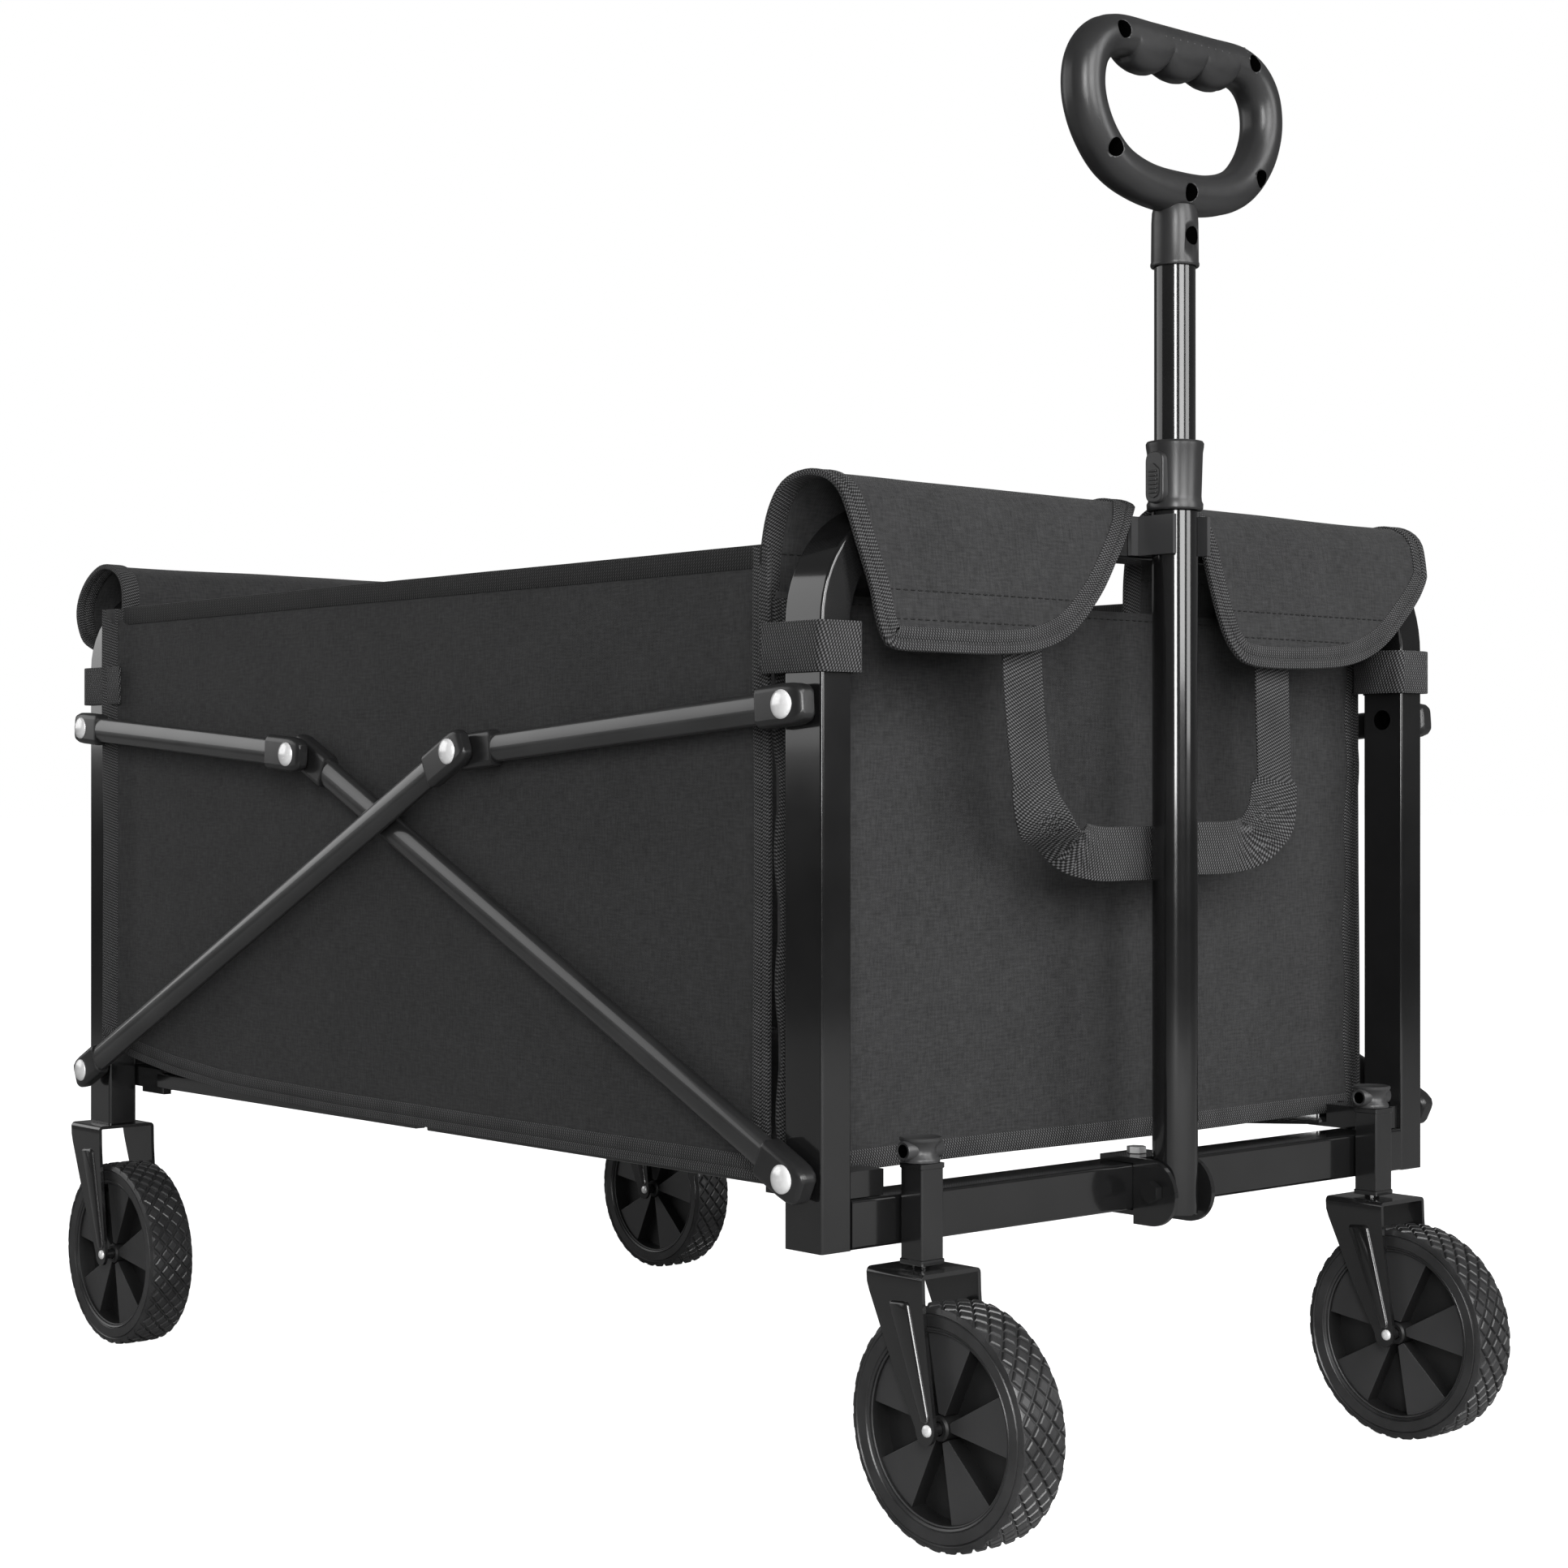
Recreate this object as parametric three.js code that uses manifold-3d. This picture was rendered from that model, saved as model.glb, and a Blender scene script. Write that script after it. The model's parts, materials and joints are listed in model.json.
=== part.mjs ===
// Folding utility wagon with a telescopic pull handle.
// Millimetres. +X points to the front (the handle end), +Y to the left of someone facing forward,
// +Z up, with the wheels standing on Z = 0. All lengths below are first measured from the front face
// of the front posts; the whole group is then moved so that the origin lies under the middle.
import * as THREE from 'three';
import { mergeVertices } from 'three/addons/utils/BufferGeometryUtils.js';
import Module from 'manifold-3d';

const wasm = await Module();
wasm.setup();

// ---------------------------------------------------------------- driving dimensions
const GAP = 0.3;                 // between pieces that touch
const ROUND = 14;                // sides of a small round
const WIDE = 24;                 // sides of a wheel or a handle tube
const FRAME_HALF = 225;          // half the width over the posts
const POST = { x: 25.6, y: 18.6, wall: 1.5, bottom: 135.5 };
const FRAME_TOP = 479;           // top of the upper rail
const BEND_R = 58;               // outer radius of the frame's top corners
const PIVOT_SPAN = 663.4;        // front post pivot to rear post pivot, open
const PIVOT_LOW = 169.6;         // height of the diagonals' pivots
const PIVOT_HIGH = 383.8;        // height of the links' pivots
const CROSS_ARM = 367.4;         // post pivot to the crossing, along a diagonal
const CROSS_TAIL = 87;           // crossing to the far end pivot, along a diagonal
const BAR = { height: 16, inner: 5.8, outer: 5.6, capHeight: 19, capReach: 10 };
const CROSS_BAR = { depth: 25, height: 23 };
const REAR_BAR_LOW = 171.1;      // bottom of the rear cross bar
const WHEEL = { r: 56.2, width: 31, rimR: 43.5, bore: 3.4, hubR: 9 };
const FORK = { half: 21.5, sheet: 2, platX: 38, frontTop: 125.5, rearTop: 135.2, ahead: 18.5 };
const STEM = { x: 7.4, y: 170, side: 14, low: 127, high: 173.5 };
const BASKET = { half: 222, front: -39, rearInset: 39, top: 458, bottom: 173, cloth: 3 };
const HANDLE = { x: 14.5, pivotZ: 146, r: 11.35, innerR: 10.3, low: 134, collarLow: 484.4, collarHigh: 519,
  socket: 606, gripZ: 680 };

const postPivotX = -POST.x / 2;
const rearPivotX = postPivotX - PIVOT_SPAN;
const rearFaceX = rearPivotX - POST.x / 2;
const crossAngle = Math.acos(PIVOT_SPAN / 2 / CROSS_ARM);
const midX = (postPivotX + rearPivotX) / 2;
const frontAxleX = STEM.x + 5 + FORK.ahead;
const rearAxleX = rearPivotX + 2.4 + FORK.ahead;
const originX = (frontAxleX + rearAxleX) / 2;

// ---------------------------------------------------------------- materials
const material = (color, roughness, metalness) =>
  new THREE.MeshStandardMaterial({ color, roughness, metalness });
const paint = () => material(0x0b0b0c, 0.22, 0.6);
const moulding = () => material(0x2c2c2d, 0.5, 0);
const rubber = () => material(0x1d1d1e, 0.75, 0);
const steel = () => material(0xe6e6e6, 0.2, 1);
const canvas = () => material(0x3d3d3e, 0.95, 0);

// ---------------------------------------------------------------- geometry helpers
function solid(geometry) {
  const bare = geometry.clone();
  bare.deleteAttribute('normal');
  bare.deleteAttribute('uv');
  const merged = mergeVertices(bare, 1e-4);
  const mesh = new wasm.Mesh({
    numProp: 3,
    vertProperties: new Float32Array(merged.attributes.position.array),
    triVerts: new Uint32Array(merged.index.array),
  });
  return new wasm.Manifold(mesh);
}

function geometryOf(body) {
  const mesh = body.getMesh();
  const geometry = new THREE.BufferGeometry();
  geometry.setAttribute('position', new THREE.BufferAttribute(new Float32Array(mesh.vertProperties), 3));
  geometry.setIndex(new THREE.BufferAttribute(new Uint32Array(mesh.triVerts), 1));
  geometry.computeVertexNormals();
  return geometry;
}

const union = (...bodies) => bodies.reduce((sum, body) => sum.add(body));

function block(x0, x1, y0, y1, z0, z1) {
  const geometry = new THREE.BoxGeometry(x1 - x0, y1 - y0, z1 - z0);
  return solid(geometry.translate((x0 + x1) / 2, (y0 + y1) / 2, (z0 + z1) / 2));
}

// A cylinder along X, Y or Z, from one coordinate to another.
function rod(axis, radius, from, to, a, b, sides = ROUND) {
  const geometry = new THREE.CylinderGeometry(radius, radius, to - from, sides);
  const middle = (from + to) / 2;
  if (axis === 'x') return solid(geometry.rotateZ(Math.PI / 2).translate(middle, a, b));
  if (axis === 'y') return solid(geometry.translate(a, middle, b));
  return solid(geometry.rotateX(Math.PI / 2).translate(a, b, middle));
}

// An outline drawn in X and Z, given a thickness along Y.
function plateXZ(shape, y0, y1, curveSegments = 5) {
  const geometry = new THREE.ExtrudeGeometry(shape, { depth: y1 - y0, bevelEnabled: false, curveSegments });
  return solid(geometry.rotateX(Math.PI / 2).translate(0, y1, 0));
}

// An outline drawn in Y and Z, given a thickness along X.
function plateYZ(shape, x0, x1, curveSegments = 6) {
  const geometry = new THREE.ExtrudeGeometry(shape, { depth: x1 - x0, bevelEnabled: false, curveSegments });
  const turn = new THREE.Matrix4().set(0, 0, 1, x0, 1, 0, 0, 0, 0, 1, 0, 0, 0, 0, 0, 1);
  return solid(geometry.applyMatrix4(turn));
}

// An outline drawn in X and Y, given a thickness along Z.
function plateXY(shape, z0, z1) {
  const geometry = new THREE.ExtrudeGeometry(shape, { depth: z1 - z0, bevelEnabled: false });
  return solid(geometry.translate(0, 0, z0));
}

function outline(points) {
  return new THREE.Shape(points.map(([x, y]) => new THREE.Vector2(x, y)));
}

// A ring turned about the Y axis: the profile holds [radius, y] pairs and closes on itself.
function turnedY(profile, x, y, z, segments = WIDE) {
  const points = [...profile, profile[0]].map(([r, h]) => new THREE.Vector2(r, h));
  return solid(new THREE.LatheGeometry(points, segments).translate(x, y, z));
}

// The same about the Z axis.
function turnedZ(profile, x, y, segments = WIDE) {
  const points = [...profile, profile[0]].map(([r, h]) => new THREE.Vector2(r, h));
  return solid(new THREE.LatheGeometry(points, segments).rotateX(Math.PI / 2).translate(x, y, 0));
}

const wagon = new THREE.Group();
wagon.position.x = -originX;

function add(name, body, finish) {
  const mesh = new THREE.Mesh(geometryOf(body), finish);
  mesh.name = name;
  wagon.add(mesh);
}

const SIDES = [['left', 1], ['right', -1]];

// The stretch between two distances from a middle line, on its plus or its minus side, low end first.
const span = (from, to, side, middle = 0) =>
  [middle + from * side, middle + to * side].sort((a, b) => a - b);

// ---------------------------------------------------------------- U-shaped end frames
// The outline of the inverted U, drawn in Y and Z. inset moves every edge inwards.
function frameOutline(inset, bottom) {
  const outer = FRAME_HALF - inset;
  const inner = FRAME_HALF - POST.y + inset;
  const top = FRAME_TOP - inset;
  const under = FRAME_TOP - POST.y + inset;
  const bendY = FRAME_HALF - BEND_R;
  const bendZ = FRAME_TOP - BEND_R;
  const shape = new THREE.Shape();
  shape.moveTo(outer, bottom);
  shape.lineTo(outer, bendZ);
  shape.absarc(bendY, bendZ, outer - bendY, 0, Math.PI / 2, false);
  shape.lineTo(-bendY, top);
  shape.absarc(-bendY, bendZ, outer - bendY, Math.PI / 2, Math.PI, false);
  shape.lineTo(-outer, bottom);
  shape.lineTo(-inner, bottom);
  shape.lineTo(-inner, bendZ);
  shape.absarc(-bendY, bendZ, inner - bendY, Math.PI, Math.PI / 2, true);
  shape.lineTo(bendY, under);
  shape.absarc(bendY, bendZ, inner - bendY, Math.PI / 2, 0, true);
  shape.lineTo(inner, bottom);
  shape.closePath();
  return shape;
}

// A bent rectangular tube, open at the feet, with pivot holes through both posts.
function endFrame(frontX) {
  const skin = plateYZ(frameOutline(0, POST.bottom), frontX - POST.x, frontX);
  const hollowOutline = frameOutline(POST.wall, POST.bottom - 5);
  const hollow = plateYZ(hollowOutline, frontX - POST.x + POST.wall, frontX - POST.wall);
  let frame = skin.subtract(hollow);
  const pivotX = frontX - POST.x / 2;
  const innerFace = FRAME_HALF - POST.y;
  for (const [, side] of SIDES) {
    const outerWall = span(FRAME_HALF - 4, FRAME_HALF + 1, side);
    const innerWall = span(innerFace - 1, innerFace + 4, side);
    for (const height of [PIVOT_LOW, PIVOT_HIGH]) {
      frame = frame.subtract(rod('y', 4.4, ...outerWall, pivotX, height, 10));
      frame = frame.subtract(rod('y', 5.5, ...innerWall, pivotX, height, 10));
    }
  }
  return frame;
}

function crossBar(frontX, low) {
  const half = FRAME_HALF - POST.y - GAP;
  const skin = block(frontX - CROSS_BAR.depth, frontX, -half, half, low, low + CROSS_BAR.height);
  const wall = POST.wall;
  return skin.subtract(block(frontX - CROSS_BAR.depth + wall, frontX - wall, -half - 1, half + 1,
    low + wall, low + CROSS_BAR.height - wall));
}

add('front_u_frame', endFrame(0), paint());
add('rear_u_frame', endFrame(rearFaceX + POST.x), paint());
// The rear bar sits higher, above the floor brackets.
add('front_cross_bar', crossBar(0, POST.bottom), paint());
add('rear_cross_bar', crossBar(rearFaceX + CROSS_BAR.depth, REAR_BAR_LOW), paint());

// ---------------------------------------------------------------- wheels, forks and caster stems
// A sheet fork: flat crown, two tapering legs that lean forward, a stamped rib on each leg.
function fork(crownX, y, top) {
  const axleX = crownX + FORK.ahead;
  const half = FORK.platX / 2;
  const drop = top - WHEEL.r;
  const leg = new THREE.Shape();
  leg.moveTo(crownX - half, top);
  leg.lineTo(crownX - half + 2, top - 0.16 * drop);
  leg.lineTo(axleX - 6.6, WHEEL.r + 1);
  leg.absarc(axleX, WHEEL.r, 6.6, Math.PI, 2 * Math.PI, false);
  leg.lineTo(crownX + half + 0.6, top - 0.3 * drop);
  leg.lineTo(crownX + half, top);
  leg.closePath();
  const rib = outline([
    [crownX - half + 14, top - 0.17 * drop],
    [crownX - half + 27, top - 0.14 * drop],
    [axleX + 1.5, WHEEL.r + 8],
    [axleX - 1, WHEEL.r + 8],
  ]);
  let body = block(crownX - half, crownX + half, y - FORK.half, y + FORK.half, top - FORK.sheet, top);
  for (const [, side] of SIDES) {
    body = body.add(plateXZ(leg, ...span(FORK.half - FORK.sheet, FORK.half, side, y)));
    body = body.add(plateXZ(rib, ...span(FORK.half - FORK.sheet, FORK.half + 1.2, side, y)));
  }
  return body.subtract(rod('y', 3.3, y - 30, y + 30, axleX, WHEEL.r, 12));
}

function axle(x, y) {
  const reach = FORK.half + GAP;
  return union(
    rod('y', 3, y - reach - 1, y + reach + 1, x, WHEEL.r, 12),
    rod('y', 4.6, y - reach - 2, y - reach, x, WHEEL.r, 12),
    rod('y', 4.6, y + reach, y + reach + 2, x, WHEEL.r, 12),
  );
}

// Solid rubber tyre: a tread with stepped shoulders over a narrower foot.
function tyre(x, y) {
  const half = WHEEL.width / 2;
  const foot = WHEEL.rimR + GAP;
  return turnedY([
    [foot, -half + 2], [WHEEL.r - 3, -half + 1], [WHEEL.r, -half + 5],
    [WHEEL.r, half - 5], [WHEEL.r - 3, half - 1], [foot, half - 2],
  ], x, y, WHEEL.r);
}

// Moulded rim: a rim ring, a thin web and a hub that is bored for the axle.
function rim(x, y) {
  const half = WHEEL.width / 2;
  return turnedY([
    [WHEEL.bore, -half + 0.5], [WHEEL.hubR, -half + 0.5], [WHEEL.hubR, -4], [WHEEL.rimR - 4, -4],
    [WHEEL.rimR - 4, -half + 2],
    [WHEEL.rimR, -half + 2],
    [WHEEL.rimR, half - 2],
    [WHEEL.rimR - 4, half - 2],
    [WHEEL.rimR - 4, 4], [WHEEL.hubR, 4], [WHEEL.hubR, half - 0.5], [WHEEL.bore, half - 0.5],
  ], x, y, WHEEL.r);
}

function wheel(name, x, y) {
  add(`${name}_tyre`, tyre(x, y), rubber());
  add(`${name}_rim`, rim(x, y), moulding());
  add(`${name}_axle`, axle(x, y), steel());
}

// A square stem tube on the front of the cross bar, with a collar at each end and a bore for the pin.
function casterStem(y) {
  const half = STEM.side / 2;
  const lip = half + 1.5;
  const tube = block(STEM.x - half + GAP, STEM.x + half, y - half, y + half, STEM.low, STEM.high);
  const foot = block(STEM.x - half + GAP, STEM.x + lip, y - lip, y + lip, STEM.low, STEM.low + 4);
  const head = block(STEM.x - half + GAP, STEM.x + lip, y - lip, y + lip, STEM.high - 3, STEM.high);
  return union(tube, foot, head).subtract(rod('z', 4.3, STEM.low - 1, STEM.high + 1, STEM.x, y));
}

// The spool-shaped cap on a stem, with the end of a cross pin on each side of its waist.
function stemCap(y) {
  const low = STEM.high + GAP;
  const bore = 4.3;
  const spool = turnedZ([
    [bore, low], [9.5, low], [8, low + 4], [8, low + 8],
    [10.5, low + 10], [10.5, low + 11.5], [bore, low + 11.5],
  ], STEM.x, y, 14);
  const pinEnds = SIDES.map(([, side]) => rod('y', 3.2, ...span(6, 11.5, side, y), STEM.x, low + 6, 8));
  return union(spool, ...pinEnds);
}

for (const [side, sign] of SIDES) {
  const y = STEM.y * sign;
  add(`caster_stem_${side}`, casterStem(y), paint());
  add(`caster_cap_${side}`, stemCap(y), moulding());
  add(`caster_pin_${side}`, rod('z', 3.9, FORK.frontTop + GAP, STEM.high + 6, STEM.x, y), steel());
  add(`caster_fork_${side}`, fork(STEM.x + 5, y, FORK.frontTop), paint());
  wheel(`front_${side}`, frontAxleX, y);
  const rearY = (FRAME_HALF - POST.y / 2) * sign;
  add(`rear_fork_${side}`, fork(rearPivotX + 2.4, rearY, FORK.rearTop), paint());
  wheel(`rear_${side}`, rearAxleX, rearY);
}

// ---------------------------------------------------------------- side linkage
// A flat bar with a sleeve at each end. It runs along X from its pivot at 0 to the far pivot at length,
// and lies between two distances from the post's outer face: near its root, and at its tip.
function sideBar(length, thick, rootOut, tipOut, pinned) {
  const lean = Math.atan2(tipOut - rootOut, length);
  const strip = block(0, length, rootOut, rootOut + thick, -BAR.height / 2, BAR.height / 2);
  const cap = new THREE.Shape();
  const tall = BAR.capHeight / 2;
  cap.moveTo(-14, -tall);
  cap.lineTo(BAR.capReach - 7, -tall);
  cap.absarc(BAR.capReach - 7, -tall + 7, 7, -Math.PI / 2, 0, false);
  cap.absarc(BAR.capReach - 7, tall - 7, 7, 0, Math.PI / 2, false);
  cap.lineTo(-14, tall);
  cap.closePath();
  const sleeve = plateXZ(cap, rootOut, rootOut + thick, 3);
  const rootSleeve = sleeve.mirror([1, 0, 0]);
  let bar = union(strip, rootSleeve, sleeve.translate([length, 0, 0]));
  const leanDegrees = THREE.MathUtils.radToDeg(lean);
  bar = bar.translate([0, -rootOut, 0]).rotate([0, 0, leanDegrees]).translate([0, rootOut, 0]);
  // the rivet that pins the bar to its post: shank, spacer and head
  bar = bar.add(rod('y', 4, -3.5, rootOut + 1, 0, 0)).add(rod('y', 7.5, GAP, rootOut + 1, 0, 0));
  bar = bar.add(rod('y', 6.7, rootOut + thick - 1, 14.5, 0, 0));
  if (pinned) bar = bar.add(rod('y', 6.7, tipOut + thick - 1, tipOut + thick + 2, length, 0));
  return bar;
}

const linkVector = new THREE.Vector2(
  (CROSS_ARM - CROSS_TAIL) * Math.cos(crossAngle),
  PIVOT_LOW + (CROSS_ARM + CROSS_TAIL) * Math.sin(crossAngle) - PIVOT_HIGH,
);
const INNER_OUT = 5.3;           // inner bars, from the post's outer face
const OUTER_ROOT = 6.8;          // outer bars at their own post
const OUTER_TIP = 12.5;          // outer bars at their far pivot

// bar: built along +X. toward: -1 when it runs from the front post to the rear, +1 the other way.
function placeBar(bar, pivotX, pivotZ, toward, rise, side) {
  let placed = bar.rotate([0, -THREE.MathUtils.radToDeg(rise), 0]);
  if (toward < 0) placed = placed.mirror([1, 0, 0]);
  placed = placed.translate([pivotX, FRAME_HALF, pivotZ]);
  return side > 0 ? placed : placed.mirror([0, 1, 0]);
}

for (const [side, sign] of SIDES) {
  const reach = CROSS_ARM + CROSS_TAIL;
  const link = linkVector.length();
  const dip = linkVector.angle() > Math.PI ? linkVector.angle() - 2 * Math.PI : linkVector.angle();
  const innerDiagonal = sideBar(reach, BAR.inner, INNER_OUT, INNER_OUT, false);
  const innerLink = sideBar(link, BAR.inner, INNER_OUT, INNER_OUT, false);
  const outerDiagonal = sideBar(reach, BAR.outer, OUTER_ROOT, OUTER_TIP, true);
  const outerLink = sideBar(link, BAR.outer, OUTER_ROOT, OUTER_TIP, true);
  const frontDiagonal = placeBar(innerDiagonal, postPivotX, PIVOT_LOW, -1, crossAngle, sign);
  add(`front_diagonal_${side}`, frontDiagonal, paint());
  add(`front_link_${side}`, placeBar(innerLink, postPivotX, PIVOT_HIGH, -1, dip, sign), paint());
  const rearDiagonal = placeBar(outerDiagonal, rearPivotX, PIVOT_LOW, 1, crossAngle, sign);
  add(`rear_diagonal_${side}`, rearDiagonal, paint());
  add(`rear_link_${side}`, placeBar(outerLink, rearPivotX, PIVOT_HIGH, 1, dip, sign), paint());
}

// ---------------------------------------------------------------- folding floor frame
const BRACE = { pivotInset: 37, z: 163, low: 158, high: 168, armY: 197, tongue: 85, width: 16 };
const braceFrontX = postPivotX - BRACE.pivotInset;
const braceRearX = rearPivotX + BRACE.pivotInset;

// An ear beside each post carries the hinge of the floor frame.
function floorBracket(faceX, toward, side) {
  const inner = FRAME_HALF - POST.y - GAP;
  const foot = POST.bottom + CROSS_BAR.height + GAP;
  const ear = span(inner - 5, inner, side);
  const pivot = faceX + toward * (POST.x / 2 + BRACE.pivotInset);
  return union(
    block(...span(2.6, 34, toward, faceX), ...span(inner - 22, inner, side), foot, foot + 12),
    block(...span(33, 60, toward, faceX), ...ear, foot - 3, foot + 12),
  ).subtract(rod('y', 3.3, ear[0] - 1, ear[1] + 1, pivot, BRACE.z, 12));
}

// One half of the floor frame: two arms that meet in tongues at the centre hinge.
function floorBrace(pivotX, toward, lanes) {
  const start = midX - toward * BRACE.tongue;
  const bars = [];
  for (const [, side] of SIDES) {
    const laneY = (lanes[0] + lanes[1]) / 2 * side;
    const armY = BRACE.armY * side;
    const heading = new THREE.Vector2(start - pivotX, laneY - armY).normalize();
    const away = heading.multiplyScalar(BRACE.width / 2);
    const across = new THREE.Vector2(-away.y, away.x);
    const arm = outline([
      [pivotX + across.x, armY + across.y], [start + across.x, laneY + across.y],
      [start - across.x, laneY - across.y], [pivotX - across.x, armY - across.y],
    ]);
    const limit = block(-1000, 1000, ...span(0, 201, side), 0, 300);
    bars.push(plateXY(arm, BRACE.low, BRACE.high).intersect(limit));
    const along = span(-BRACE.tongue - 10, 10, toward, midX);
    bars.push(block(...along, ...span(...lanes, side), BRACE.low, BRACE.high));
    bars.push(rod('y', BRACE.width / 2 - 3, ...span(190, 201, side), pivotX, BRACE.z));
    bars.push(rod('y', 3, ...span(200, FRAME_HALF - POST.y, side), pivotX, BRACE.z, 12));
  }
  return bars;
}

const frontBrace = floorBrace(braceFrontX, -1, [7, 15]);
frontBrace.push(block(midX + BRACE.tongue - 4, midX + BRACE.tongue + 10, -12, 12, BRACE.low, BRACE.high));
add('front_floor_frame', union(...frontBrace), paint());
add('rear_floor_frame', union(...floorBrace(braceRearX, 1, [0, 5])), paint());
for (const [side, sign] of SIDES) {
  add(`front_floor_bracket_${side}`, floorBracket(0, -1, sign), paint());
  add(`rear_floor_bracket_${side}`, floorBracket(rearFaceX, 1, sign), paint());
}

// ---------------------------------------------------------------- fabric basket
// Plain solids that hold the cloth's place: walls, floor, and a flap over each end rail.
const basketRear = rearFaceX + POST.x / 2 + BASKET.rearInset - 13;
const cloth = BASKET.cloth;
const inner = BASKET.half - cloth - GAP;
const wallTop = 440;
const frontWall = block(BASKET.front - cloth, BASKET.front, -inner, inner, BASKET.bottom + 3, wallTop);
add('front_panel', frontWall, canvas());
const rearWall = block(basketRear, basketRear + cloth, -inner, inner, BASKET.bottom + 12, wallTop);
add('rear_panel', rearWall, canvas());
for (const [side, sign] of SIDES) {
  const wall = block(basketRear - cloth, BASKET.front - GAP, ...span(inner + GAP, BASKET.half, sign),
    BASKET.bottom, BASKET.top);
  add(`side_panel_${side}`, wall, canvas());
}
add('floor_panel', block(basketRear + cloth + 8, BASKET.front - cloth - 8, -inner + 2, inner - 2,
  BASKET.bottom + 2, BASKET.bottom + 6), canvas());

// A flap: up the inside of the rail, over it, and down outside. Drawn for the front, in X and Z.
function flapShape(freeX, freeZ) {
  const backX = BASKET.front - cloth;
  const half = (7 - backX) / 2;
  const middle = backX + half;
  const springZ = FRAME_TOP - 12;
  const crown = 26;
  const path = new THREE.Shape();
  path.moveTo(backX, wallTop + GAP);
  path.lineTo(backX, springZ);
  path.absellipse(middle, springZ, half, crown, Math.PI, 0, true);
  path.lineTo(freeX, freeZ);
  path.lineTo(freeX - cloth, freeZ);
  path.lineTo(middle + half - cloth, springZ);
  path.absellipse(middle, springZ, half - cloth, crown - cloth, 0, Math.PI, false);
  path.lineTo(backX + cloth, wallTop + GAP);
  path.closePath();
  return path;
}

add('front_flap_right', plateXZ(flapShape(12, 410), -213, -26, 8), canvas());
add('front_flap_left', plateXZ(flapShape(12, 410), 30, 213, 8), canvas());
const rearFlap = plateXZ(flapShape(14, 422), -213, 213, 8).mirror([1, 0, 0]).translate([rearFaceX, 0, 0]);
add('rear_flap', rearFlap, canvas());

// ---------------------------------------------------------------- pull handle
// A clevis on the cross bar: two rounded ears in front, a flange over and under the bar.
function handleBracket() {
  const ear = new THREE.Shape();
  ear.moveTo(GAP, 128.5);
  ear.lineTo(12, 128.5);
  ear.absarc(12, 144, 15.5, -Math.PI / 2, 0, false);
  ear.absarc(10, 144, 17.5, 0, Math.PI / 2, false);
  ear.lineTo(GAP, 161.5);
  ear.closePath();
  const top = POST.bottom + CROSS_BAR.height + GAP;
  const ears = SIDES.map(([, side]) => plateXZ(ear, ...span(12.6, 15.2, side)));
  return union(
    ...ears,
    block(-22, 2.6, -15.2, 15.2, top, 161.5),
    block(-22, 2.6, -15.2, 15.2, POST.bottom - GAP - 2.4, POST.bottom - GAP),
  ).subtract(rod('y', 3.3, -20, 20, HANDLE.x, HANDLE.pivotZ, 16));
}

function pivotBolt() {
  const { x, pivotZ } = HANDLE;
  return union(
    rod('y', 3, -16, 18.5, x, pivotZ, 16),
    rod('y', 5.5, -20, -15.5, x, pivotZ, 6),
    rod('y', 5.5, 15.5, 20, x, pivotZ, 6),
  );
}

// The outer tube: hollow, bored across for its pivot, and rounded off behind so that it can swing.
function outerTube() {
  const { x, pivotZ, r, low, collarLow } = HANDLE;
  const bore = rod('z', r - 0.7, low - 1, collarLow, x, 0, WIDE);
  const tube = rod('z', r, low, collarLow - GAP, x, 0, WIDE).subtract(bore);
  const keep = union(
    rod('y', 13.6, -20, 20, x, pivotZ, WIDE),
    block(x, x + 20, -20, 20, low - 5, pivotZ + 5),
    block(x - 20, x + 20, -20, 20, pivotZ, 600),
  );
  return tube.intersect(keep).subtract(rod('y', 3.3, -20, 20, x, pivotZ, 16));
}

function collar() {
  const { x, collarLow, collarHigh } = HANDLE;
  const body = turnedZ([[10.7, collarLow], [14, collarLow], [14.3, collarLow + 6], [14.3, collarHigh - 6],
    [13.6, collarHigh], [10.7, collarHigh]], x, 0);
  const boss = block(x - 5.6, x + 5.6, -16.4, -10.9, collarLow + 3, collarHigh - 7);
  const slot = block(x - 3.9, x + 3.9, -20, -12.2, collarLow + 5, collarHigh - 8.5);
  const bore = rod('z', 10.7, collarLow - 1, collarHigh + 1, x, 0, WIDE);
  return union(body, boss).subtract(slot).subtract(bore);
}

function latchButton() {
  const { x, collarLow } = HANDLE;
  const low = collarLow + 5 + GAP;
  const key = new THREE.Shape();
  key.moveTo(x - 3.5, low + 3.5);
  key.absarc(x, low + 3.5, 3.5, Math.PI, 2 * Math.PI, false);
  key.lineTo(x + 3.5, low + 15);
  key.lineTo(x, low + 17.5);
  key.lineTo(x - 3.5, low + 15);
  key.closePath();
  let button = plateXZ(key, -16.9, -12.5);
  for (let n = 0; n < 5; n += 1) {
    const z = low + 3 + n * 2.8;
    button = button.add(block(x - 2.4, x + 2.4, -17.6, -16.5, z, z + 1.2));
  }
  return button;
}

add('handle_bracket', handleBracket(), paint());
add('handle_pivot_bolt', pivotBolt(), paint());
add('bracket_bolt', union(
  rod('z', 5, 161.5 + GAP, 165, -11, 0, 6),
  rod('z', 3, 158, 163, -11, 0, 16).intersect(block(-20, 0, -10, 10, 161.5 + GAP, 164)),
), steel());
add('handle_outer_tube', outerTube(), paint());
add('handle_collar', collar(), moulding());
add('handle_button', latchButton(), moulding());

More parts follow.
